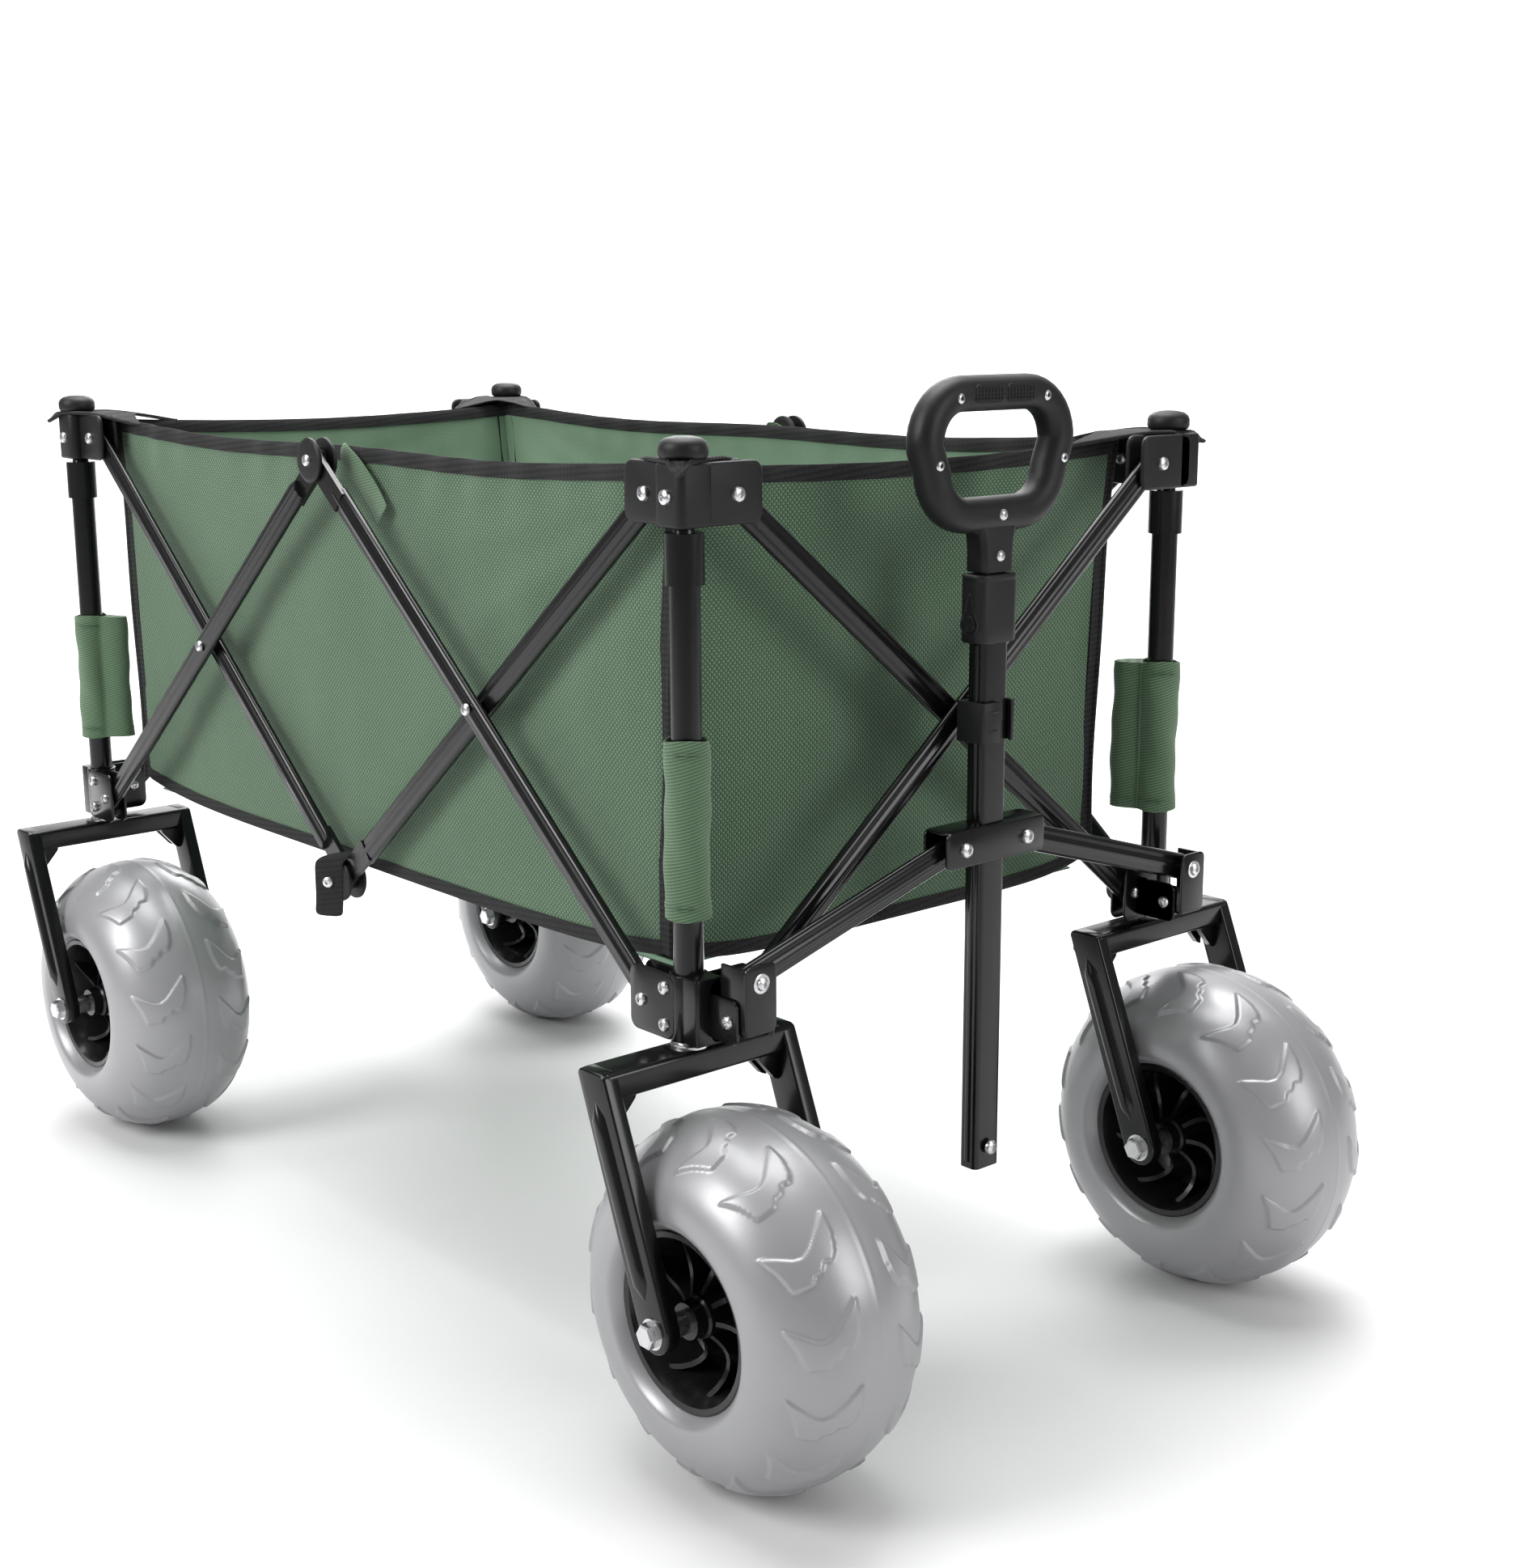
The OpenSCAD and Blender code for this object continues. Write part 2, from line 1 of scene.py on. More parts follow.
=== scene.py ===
import bpy
import json
import numpy as np
from math import atan2, cos, degrees, hypot, pi, radians, sin, sqrt
from mathutils import Matrix, Vector, noise


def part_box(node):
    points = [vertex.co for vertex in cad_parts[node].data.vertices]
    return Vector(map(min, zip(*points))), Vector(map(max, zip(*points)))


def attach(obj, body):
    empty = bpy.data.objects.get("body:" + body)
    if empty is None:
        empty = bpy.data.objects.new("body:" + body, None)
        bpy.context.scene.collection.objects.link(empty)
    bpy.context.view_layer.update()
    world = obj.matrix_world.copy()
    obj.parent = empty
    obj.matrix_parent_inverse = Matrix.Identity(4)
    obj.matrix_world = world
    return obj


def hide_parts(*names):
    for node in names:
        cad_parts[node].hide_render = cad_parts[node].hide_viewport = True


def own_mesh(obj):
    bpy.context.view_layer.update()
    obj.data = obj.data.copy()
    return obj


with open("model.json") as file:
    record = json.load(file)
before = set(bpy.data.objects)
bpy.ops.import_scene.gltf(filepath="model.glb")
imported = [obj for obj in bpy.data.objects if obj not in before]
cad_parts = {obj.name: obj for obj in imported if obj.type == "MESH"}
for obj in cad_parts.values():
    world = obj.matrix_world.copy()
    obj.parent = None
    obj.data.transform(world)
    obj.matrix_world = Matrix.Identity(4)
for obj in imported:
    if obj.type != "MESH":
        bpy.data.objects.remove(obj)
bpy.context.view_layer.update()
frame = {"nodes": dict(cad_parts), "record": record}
print("frame loaded")

jointAt = {j["name"]: Vector(j["pos_m"]) for j in frame["record"]["behaviour"]["joints"] if "pos_m" in j}


def lowHigh(node):
    low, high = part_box(node)
    return Vector(low), Vector(high)


def middle(node):
    low, high = lowHigh(node)
    return (low + high) / 2


corners = {  # each corner's body ending, and which way is outward
    "fr": {"body": "front_right", "x": 1, "y": -1},
    "fl": {"body": "front_left", "x": 1, "y": 1},
    "rr": {"body": "rear_right", "x": -1, "y": -1},
    "rl": {"body": "rear_left", "x": -1, "y": 1},
}
sideSign = {"right": -1, "left": 1}
postX = middle("lower_post_fr").x
postY = abs(middle("lower_post_fr").y)
lowPivotZ = jointAt["fold"].z
topPivotZ = jointAt["top_front_right"].z
earOffset = postX - jointAt["fold"].x
crossZ = jointAt["cross_front_right"].z


# materials
def newGroup(name, ins, outs):
    tree = bpy.data.node_groups.new(name, "ShaderNodeTree")
    for label, kind, value in ins:
        socket = tree.interface.new_socket(label, in_out="INPUT", socket_type=kind)
        if value is not None:
            socket.default_value = value
    for label, kind in outs:
        tree.interface.new_socket(label, in_out="OUTPUT", socket_type=kind)
    return tree, tree.nodes.new("NodeGroupInput"), tree.nodes.new("NodeGroupOutput")


def mathNode(tree, kind, a, b=None, c=None):
    node = tree.nodes.new("ShaderNodeMath")
    node.operation = kind
    for i, v in enumerate((a, b, c)):
        if v is None:
            continue
        if isinstance(v, (int, float)):
            node.inputs[i].default_value = v
        else:
            tree.links.new(v, node.inputs[i])
    return node.outputs[0]


def mapRange(tree, value, low, high, toLow, toHigh):
    node = tree.nodes.new("ShaderNodeMapRange")
    tree.links.new(value, node.inputs["Value"])
    for key, v in (("From Min", low), ("From Max", high), ("To Min", toLow), ("To Max", toHigh)):
        if isinstance(v, (int, float)):
            node.inputs[key].default_value = v
        else:
            tree.links.new(v, node.inputs[key])
    return node.outputs[0]


def noiseNode(tree, vector, scale, detail=4.0):
    node = tree.nodes.new("ShaderNodeTexNoise")
    node.inputs["Detail"].default_value = detail
    tree.links.new(vector, node.inputs["Vector"])
    if isinstance(scale, (int, float)):
        node.inputs["Scale"].default_value = scale
    else:
        tree.links.new(scale, node.inputs["Scale"])
    return node.outputs["Fac"]


def makeGrainGroup():
    # fine moulded or sprayed grain, with a slow change of gloss over it
    tree, gin, gout = newGroup("surfaceGrain", [
        ("Vector", "NodeSocketVector", None), ("Grain Scale", "NodeSocketFloat", 900.0),
        ("Cloud Scale", "NodeSocketFloat", 9.0), ("Rough Low", "NodeSocketFloat", 0.3),
        ("Rough High", "NodeSocketFloat", 0.45)], [("Height", "NodeSocketFloat"), ("Roughness", "NodeSocketFloat"),
        ("Cloud", "NodeSocketFloat")])
    fine = noiseNode(tree, gin.outputs["Vector"], gin.outputs["Grain Scale"], 2.0)
    cloud = noiseNode(tree, gin.outputs["Vector"], gin.outputs["Cloud Scale"], 5.0)
    rough = mapRange(tree, cloud, 0.3, 0.7, gin.outputs["Rough Low"], gin.outputs["Rough High"])
    tree.links.new(fine, gout.inputs["Height"])
    tree.links.new(rough, gout.inputs["Roughness"])
    tree.links.new(cloud, gout.inputs["Cloud"])
    return tree


def makeWeaveGroup():
    # plain weave of two threads, as cells across (u) and along (v); the gap output is the mask for painted shade
    # between the threads
    tree, gin, gout = newGroup("plainWeave", [
        ("Across", "NodeSocketFloat", 0.0), ("Along", "NodeSocketFloat", 0.0),
        ("Pitch", "NodeSocketFloat", 0.003)], [("Height", "NodeSocketFloat"), ("Shade Gap", "NodeSocketFloat"),
        ("Checker", "NodeSocketFloat")])
    turns = []
    for side in ("Across", "Along"):
        turns.append(mathNode(tree, "DIVIDE", gin.outputs[side], gin.outputs["Pitch"]))
    waves = [mathNode(tree, "SINE", mathNode(tree, "MULTIPLY", t, pi)) for t in turns]
    product = mathNode(tree, "MULTIPLY", waves[0], waves[1])
    # checker mask: every other cell, later painted lighter as a highlight on the yarn
    checker = mapRange(tree, product, -0.25, 0.25, 0.0, 1.0)
    crowns = [mathNode(tree, "ABSOLUTE", w) for w in waves]
    dome = mathNode(tree, "POWER", mathNode(tree, "MULTIPLY", crowns[0], crowns[1]), 0.5)
    tree.links.new(dome, gout.inputs["Height"])
    # gap mask: where the threads part, later painted dark as shade
    gap = mapRange(tree, dome, 0.05, 0.62, 1.0, 0.0)
    tree.links.new(gap, gout.inputs["Shade Gap"])
    tree.links.new(checker, gout.inputs["Checker"])
    return tree


grainGroup = makeGrainGroup()
weaveGroup = makeWeaveGroup()


def startMaterial(name):
    mat = bpy.data.materials.new(name)
    mat.use_nodes = True
    tree = mat.node_tree
    shader = tree.nodes["Principled BSDF"]
    coords = tree.nodes.new("ShaderNodeTexCoord")
    return mat, tree, shader, coords.outputs["Object"]


def addGroup(tree, group, values):
    node = tree.nodes.new("ShaderNodeGroup")
    node.node_tree = group
    for key, value in values.items():
        if isinstance(value, (int, float)):
            node.inputs[key].default_value = value
        else:
            tree.links.new(value, node.inputs[key])
    return node


def addBump(tree, shader, height, strength, distance, after=None):
    bump = tree.nodes.new("ShaderNodeBump")
    bump.inputs["Strength"].default_value = strength
    bump.inputs["Distance"].default_value = distance
    tree.links.new(height, bump.inputs["Height"])
    if after is not None:
        tree.links.new(after, bump.inputs["Normal"])
    tree.links.new(bump.outputs["Normal"], shader.inputs["Normal"])
    return bump.outputs["Normal"]


def mixColour(tree, fac, a, b):
    node = tree.nodes.new("ShaderNodeMix")
    node.data_type = "RGBA"
    tree.links.new(fac, node.inputs["Factor"])
    for i, v in ((6, a), (7, b)):
        if isinstance(v, tuple):
            node.inputs[i].default_value = (*v, 1.0)
        else:
            tree.links.new(v, node.inputs[i])
    return node.outputs[2]


def hardMaterial(name, dark, light, rough, grain, cloud, bump, metallic=0.0, coat=0.0, shine=0.28):
    # one finish for painted steel, moulded plastic and bare metal
    mat, tree, shader, where = startMaterial(name)
    grainNode = addGroup(tree, grainGroup, {"Vector": where, "Grain Scale": grain, "Cloud Scale": cloud,
                                            "Rough Low": rough[0], "Rough High": rough[1]})
    tree.links.new(mixColour(tree, grainNode.outputs["Cloud"], dark, light), shader.inputs["Base Color"])
    tree.links.new(grainNode.outputs["Roughness"], shader.inputs["Roughness"])
    shader.inputs["Metallic"].default_value = metallic
    shader.inputs["Coat Weight"].default_value = coat
    shader.inputs["Coat Roughness"].default_value = 0.12
    shader.inputs["Specular IOR Level"].default_value = 0.5 if metallic else shine
    addBump(tree, shader, grainNode.outputs["Height"], bump, 0.0004)
    return mat


def splitVector(tree, where):
    node = tree.nodes.new("ShaderNodeSeparateXYZ")
    tree.links.new(where, node.inputs[0])
    return node.outputs


def clothMaterial(name, thread, shade, gapShadeColour, pitch, depth, flat=False, slant=0.0, sheen=0.25):
    # upright panels run across on X + Y and along on Z; flat ones lie in X and Y
    mat, tree, shader, where = startMaterial(name)
    x, y, z = splitVector(tree, where)
    across = x if flat else mathNode(tree, "ADD", x, y)
    along = y if flat else z
    if slant:
        along = mathNode(tree, "ADD", along, mathNode(tree, "MULTIPLY", across, slant))
    weave = addGroup(tree, weaveGroup, {"Across": across, "Along": along, "Pitch": pitch})
    blotch = noiseNode(tree, where, 7.0, 6.0)
    fibre = noiseNode(tree, where, 1400.0, 2.0)
    tone = mixColour(tree, mapRange(tree, blotch, 0.35, 0.65, 0.0, 1.0), thread, shade)
    # painted highlight: every other weave cell is lifted towards a brighter copy of the thread colour
    highlightedYarn = mixColour(tree, mapRange(tree, weave.outputs["Checker"], 0.0, 1.0, 0.0, 0.9), tone,
                     tuple(c * 2.3 for c in thread))
    # painted shade: the gaps between the threads are darkened towards a dark colour
    woven = mixColour(tree, mapRange(tree, weave.outputs["Shade Gap"], 0.0, 1.0, 0.0, 0.9), highlightedYarn, gapShadeColour)
    tree.links.new(woven, shader.inputs["Base Color"])
    tree.links.new(mapRange(tree, fibre, 0.3, 0.7, 0.72, 0.9), shader.inputs["Roughness"])
    shader.inputs["Sheen Weight"].default_value = sheen
    shader.inputs["Sheen Roughness"].default_value = 0.45
    shader.inputs["Specular IOR Level"].default_value = 0.35
    soft = addBump(tree, shader, fibre, 0.25, 0.0003)
    addBump(tree, shader, weave.outputs["Height"], 0.8, depth, soft)
    return mat


palette = {
    "steel": hardMaterial("blackSteel", (0.0035, 0.0035, 0.004), (0.006, 0.006, 0.0065), (0.17, 0.28), 1500, 12, 0.08, 0, 0.22),
    "plastic": hardMaterial("blackPlastic", (0.007, 0.007, 0.0075), (0.012, 0.012, 0.013), (0.36, 0.5), 2200, 14, 0.3),
    "rim": hardMaterial("rimPlastic", (0.005, 0.005, 0.0055), (0.010, 0.010, 0.011), (0.2, 0.34), 1800, 20, 0.15, 0, 0.2),
    "bolt": hardMaterial("zincBolt", (0.55, 0.55, 0.56), (0.75, 0.75, 0.76), (0.22, 0.4), 900, 150, 0.25, 1.0),
    "tyre": hardMaterial("tyreGrey", (0.30, 0.30, 0.31), (0.36, 0.36, 0.375), (0.33, 0.43), 1100, 7, 0.12, 0.35, 0.1, 0.6),
    "oxford": clothMaterial("greenOxford", (0.066, 0.118, 0.068), (0.053, 0.098, 0.056), (0.008, 0.018, 0.009), 0.0024, 0.0008),
    "lining": clothMaterial("greenLining", (0.105, 0.168, 0.110), (0.084, 0.140, 0.089), (0.05, 0.085, 0.053), 0.0012, 0.0002),
    "floor": clothMaterial("greenMat", (0.085, 0.15, 0.093), (0.07, 0.125, 0.077), (0.04, 0.075, 0.044), 0.0016, 0.0003, True),
    "canvas": clothMaterial("greenCanvas", (0.078, 0.134, 0.075), (0.062, 0.110, 0.061), (0.028, 0.052, 0.029), 0.0013, 0.0004, False, 0.8),
    "binding": clothMaterial("blackBinding", (0.012, 0.012, 0.0125), (0.008, 0.008, 0.0085), (0.002, 0.002, 0.002),
                             0.0026, 0.0010, False, 0.9, 0.03),
}
print("materials made")


# mesh building
class Shape:
    # gathers solids in a part's own frame, and becomes one piece

    def __init__(self):
        self.verts = []
        self.faces = []
        self.marks = []

    def add(self, verts, faces, mark=0):
        start = len(self.verts)
        self.verts += [Vector(v) for v in verts]
        self.faces += [[i + start for i in f] for f in faces]
        self.marks += [mark] * len(faces)

    def box(self, low, high, mark=0):
        pts = [(x, y, z) for x in (low[0], high[0]) for y in (low[1], high[1]) for z in (low[2], high[2])]
        self.add(pts, [(0, 1, 3, 2), (4, 6, 7, 5), (0, 4, 5, 1), (2, 3, 7, 6), (0, 2, 6, 4), (1, 5, 7, 3)], mark)

    def prism(self, outline, plane, low, high, mark=0):
        # an outline in two axes, drawn out along the third
        place = {"XY": lambda u, v, w: (u, v, w), "XZ": lambda u, v, w: (u, w, v), "YZ": lambda u, v, w: (w, u, v)}[plane]
        n = len(outline)
        pts = [place(u, v, w) for w in (low, high) for u, v in outline]
        faces = [list(range(n)), list(range(2 * n - 1, n - 1, -1))]
        faces += [(i, (i + 1) % n, (i + 1) % n + n, i + n) for i in range(n)]
        self.add(pts, faces, mark)

    def lathe(self, profile, origin, aim, sides=32, mark=0):
        # a profile of radius and height, turned about a line; its ends are closed where they reach no axis
        aim = Vector(aim).normalized()
        turn = aim.to_track_quat("Z", "Y").to_matrix()
        pts, rings = [], []
        for r, h in profile:
            if r < 1e-7:
                rings.append([len(pts)])
                pts.append(Vector(origin) + turn @ Vector((0, 0, h)))
                continue
            rings.append(list(range(len(pts), len(pts) + sides)))
            for k in range(sides):
                a = 2 * pi * k / sides
                pts.append(Vector(origin) + turn @ Vector((r * cos(a), r * sin(a), h)))
        faces = []
        for a, b in zip(rings, rings[1:]):
            for k in range(sides):
                m = (k + 1) % sides
                if len(a) == 1:
                    faces.append((a[0], b[k], b[m]))
                elif len(b) == 1:
                    faces.append((a[k], b[0], a[m]))
                else:
                    faces.append((a[k], b[k], b[m], a[m]))
        for ring, back in ((rings[0], True), (rings[-1], False)):
            if len(ring) > 1:
                faces.append(ring[::-1] if back else ring)
        self.add(pts, faces, mark)

    def rod(self, start, end, radius, sides=24, mark=0):
        start, end = Vector(start), Vector(end)
        self.lathe([(radius, 0), (radius, (end - start).length)], start, end - start, sides, mark)

    def sweep(self, path, section, up=(0, 0, 1), mark=0, closed=False):
        # a section of (side, up) points carried along a path
        path = [Vector(p) for p in path]
        pts, n = [], len(section)
        count = len(path)
        for i, p in enumerate(path):
            before = path[i - 1] if closed or i > 0 else p
            after = path[(i + 1) % count] if closed or i < count - 1 else p
            along = (after - before).normalized()
            side = along.cross(Vector(up)).normalized()
            rise = side.cross(along).normalized()
            pts += [p + side * u + rise * v for u, v in section]
        faces = []
        for i in range(count if closed else count - 1):
            j = (i + 1) % count
            faces += [(i * n + k, i * n + (k + 1) % n, j * n + (k + 1) % n, j * n + k) for k in range(n)]
        if not closed:
            faces += [list(range(n))[::-1], list(range((count - 1) * n, count * n))]
        self.add(pts, faces, mark)

    def piece(self, name, material, body, place=None, bevel=0.0, segments=2, smooth=40, replaces=()):
        if place is not None:
            self.verts = [place(v) for v in self.verts]
        mesh = bpy.data.meshes.new(name)
        mesh.from_pydata([tuple(v) for v in self.verts], [], self.faces)
        for poly, mark in zip(mesh.polygons, self.marks):
            poly.material_index = mark
        obj = bpy.data.objects.new(name, mesh)
        bpy.context.collection.objects.link(obj)
        for mat in material if isinstance(material, (list, tuple)) else [material]:
            mesh.materials.append(mat)
        outward(mesh)
        if bevel:
            mod = obj.modifiers.new("edge", "BEVEL")
            mod.width = bevel
            mod.segments = segments
            mod.limit_method = "ANGLE"
            mod.angle_limit = radians(35)
            bake(obj)
        return finishPiece(obj, body, smooth, replaces)


def outward(mesh):
    import bmesh
    bm = bmesh.new()
    bm.from_mesh(mesh)
    bmesh.ops.recalc_face_normals(bm, faces=bm.faces)
    bm.to_mesh(mesh)
    bm.free()


def bake(obj):
    # turns an object's modifiers into plain mesh
    graph = bpy.context.evaluated_depsgraph_get()
    graph.update()
    mesh = bpy.data.meshes.new_from_object(obj.evaluated_get(graph), preserve_all_data_layers=True, depsgraph=graph)
    obj.modifiers.clear()
    obj.data = mesh


def finishPiece(obj, body, smooth=40, replaces=()):
    obj.data.shade_smooth()
    obj.data.set_sharp_from_angle(angle=radians(smooth))
    if body:
        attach(obj, body)
    if replaces:
        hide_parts(*replaces)
    return obj


def roundRect(w, h, r, cx=0.0, cy=0.0, steps=5):
    pts = []
    for sx, sy, start in ((1, 1, 0), (-1, 1, 90), (-1, -1, 180), (1, -1, 270)):
        for k in range(steps + 1):
            a = radians(start + 90 * k / steps)
            pts.append((cx + sx * (w / 2 - r) + r * cos(a), cy + sy * (h / 2 - r) + r * sin(a)))
    return pts


# quads over rows of points, row by row
def gridFaces(rows, cols):
    return [(i * cols + k, i * cols + k + 1, (i + 1) * cols + k + 1, (i + 1) * cols + k)
            for i in range(rows - 1) for k in range(cols - 1)]


# gives a flat strip its thickness, rounds it when asked, and lets it ride
def finishStrip(obj, thickness, body, rounded=True):
    thick = obj.modifiers.new("thick", "SOLIDIFY")
    thick.thickness = thickness
    thick.offset = 0
    if rounded:
        smooth = obj.modifiers.new("round", "SUBSURF")
        smooth.levels = 2
        smooth.render_levels = 2
    bake(obj)
    obj.data.shade_smooth()
    if not rounded:
        obj.data.set_sharp_from_angle(angle=radians(60))
    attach(obj, body)


def ovalSection(wide, tall, sides):
    return [(wide * cos(q), tall * sin(q)) for q in [2 * pi * k / sides for k in range(sides)]]


def cornerPlace(e):
    c = corners[e]
    return lambda v: Vector((c["x"] * (postX + v.x), c["y"] * (postY + v.y), v.z))


# screw and bolt heads
def headMesh(name, profile, sides):
    shape = Shape()
    shape.lathe(profile, (0, 0, 0), (0, 0, 1), sides)
    mesh = bpy.data.meshes.new(name)
    mesh.from_pydata([tuple(v) for v in shape.verts], [], shape.faces)
    outward(mesh)
    mesh.shade_smooth()
    mesh.set_sharp_from_angle(angle=radians(35))
    obj = bpy.data.objects.new(name, mesh)
    bpy.context.collection.objects.link(obj)
    return obj


headProfiles = {  # radius and height from the seat, in metres; the last points are the recess
    "pan": [(0.0056, 0), (0.0056, 0.001), (0.0049, 0.0026), (0.0034, 0.0035), (0.0022, 0.0037), (0.0019, 0.0019), (0, 0.0017)],
    "button": [(0.0072, 0), (0.0072, 0.0008), (0.0062, 0.001), (0.0058, 0.0034), (0.0047, 0.0044), (0.0029, 0.0046),
               (0.0027, 0.0022), (0, 0.002)],
    "small": [(0.0046, 0), (0.0046, 0.0006), (0.0036, 0.0018), (0.002, 0.0024), (0.0016, 0.001), (0, 0.0009)],
    "hex": [(0.0102, 0), (0.0102, 0.0012), (0.0100, 0.0068), (0.0086, 0.0082), (0, 0.0082)],
}
heads = {k: headMesh("head" + k.title(), v, 6 if k == "hex" else 24) for k, v in headProfiles.items()}


def makeHeadTree():
    tree = bpy.data.node_groups.new("placeHeads", "GeometryNodeTree")
    tree.interface.new_socket("Geometry", in_out="INPUT", socket_type="NodeSocketGeometry")
    tree.interface.new_socket("Head", in_out="INPUT", socket_type="NodeSocketObject")
    tree.interface.new_socket("Finish", in_out="INPUT", socket_type="NodeSocketMaterial")
    tree.interface.new_socket("Size", in_out="INPUT", socket_type="NodeSocketFloat").default_value = 1.0
    tree.interface.new_socket("Geometry", in_out="OUTPUT", socket_type="NodeSocketGeometry")
    gin, gout = tree.nodes.new("NodeGroupInput"), tree.nodes.new("NodeGroupOutput")
    info = tree.nodes.new("GeometryNodeObjectInfo")
    aim = tree.nodes.new("GeometryNodeInputNamedAttribute")
    aim.data_type = "FLOAT_VECTOR"
    aim.inputs["Name"].default_value = "aim"
    turn = tree.nodes.new("FunctionNodeAlignRotationToVector")
    turn.axis = "Z"
    put = tree.nodes.new("GeometryNodeInstanceOnPoints")
    real = tree.nodes.new("GeometryNodeRealizeInstances")
    paint = tree.nodes.new("GeometryNodeSetMaterial")
    links = tree.links
    links.new(gin.outputs["Geometry"], put.inputs["Points"])
    links.new(gin.outputs["Head"], info.inputs["Object"])
    links.new(info.outputs["Geometry"], put.inputs["Instance"])
    links.new(aim.outputs["Attribute"], turn.inputs["Vector"])
    links.new(turn.outputs["Rotation"], put.inputs["Rotation"])
    links.new(gin.outputs["Size"], put.inputs["Scale"])
    links.new(put.outputs["Instances"], real.inputs["Geometry"])
    links.new(real.outputs["Geometry"], paint.inputs["Geometry"])
    links.new(gin.outputs["Finish"], paint.inputs["Material"])
    links.new(paint.outputs["Geometry"], gout.inputs["Geometry"])
    return tree


headTree = makeHeadTree()
headSockets = {s.name: s.identifier for s in headTree.interface.items_tree if s.in_out == "INPUT"}


def placeHeads(name, kind, spots, body, finish="bolt", size=1.0):
    # spots are (place, aim) pairs; one mesh comes out for the body
    mesh = bpy.data.meshes.new(name)
    mesh.from_pydata([tuple(p) for p, _ in spots], [], [])
    aims = mesh.attributes.new("aim", "FLOAT_VECTOR", "POINT")
    for i, (_, a) in enumerate(spots):
        aims.data[i].vector = tuple(Vector(a).normalized())
    obj = bpy.data.objects.new(name, mesh)
    bpy.context.collection.objects.link(obj)
    mod = obj.modifiers.new("heads", "NODES")
    mod.node_group = headTree
    mod[headSockets["Head"]] = heads[kind]
    mod[headSockets["Finish"]] = palette[finish]
    mod[headSockets["Size"]] = size
    bake(obj)
    return finishPiece(obj, body, 35)


# wheels
tyreForm = {"low": 65.0, "wide": 0.079, "around": 640, "across": 146, "lugs": 14, "lift": 0.0021, "ramp": 0.0016}
lugOutline = [(0.077, 0.010), (0.054, -0.003), (0.047, -0.004), (0.040, 0.000), (0.018, 0.022), (0.019, 0.004),
              (0.022, -0.007), (0.027, -0.013), (0.033, -0.011), (0.037, -0.017), (0.043, -0.018), (0.047, -0.024),
              (0.062, -0.025), (0.068, -0.008)]


def insideDistance(px, py, outline):
    # signed distance to a closed outline, positive inside
    best = np.full(px.shape, 1e9)
    inside = np.zeros(px.shape, bool)
    n = len(outline)
    for i in range(n):
        ax, ay = outline[i]
        bx, by = outline[(i + 1) % n]
        dx, dy = bx - ax, by - ay
        t = np.clip(((px - ax) * dx + (py - ay) * dy) / (dx * dx + dy * dy), 0, 1)
        best = np.minimum(best, np.hypot(px - ax - t * dx, py - ay - t * dy))
        crosses = ((ay > py) != (by > py)) & (px < (bx - ax) * (py - ay) / (by - ay + 1e-12) + ax)
        inside ^= crosses
    return np.where(inside, best, -best)


def tyreProfile(radius, rimRadius, half):
    # radius and width from one bead over the crown to the other, evenly spaced
    wideRadius = radius - 0.065
    bead = wideRadius - rimRadius
    closeIn = radians(33)
    pts = []
    for k in range(9):
        a = closeIn * (1 - k / 9)
        pts.append((wideRadius - bead * sin(a) / sin(closeIn), half * cos(a)))
    for k in range(161):
        a = pi * k / 160
        pts.append((wideRadius + 0.065 * sin(a), half * cos(a)))
    for k in range(1, 10):
        a = closeIn * k / 9
        pts.append((wideRadius - bead * sin(a) / sin(closeIn), -half * cos(a)))
    pts = np.array(pts)
    length = np.concatenate([[0], np.cumsum(np.hypot(*np.diff(pts, axis=0).T))])
    even = np.linspace(0, length[-1], tyreForm["across"])
    return np.interp(even, length, pts[:, 0]), np.interp(even, length, pts[:, 1]), even - length[-1] / 2


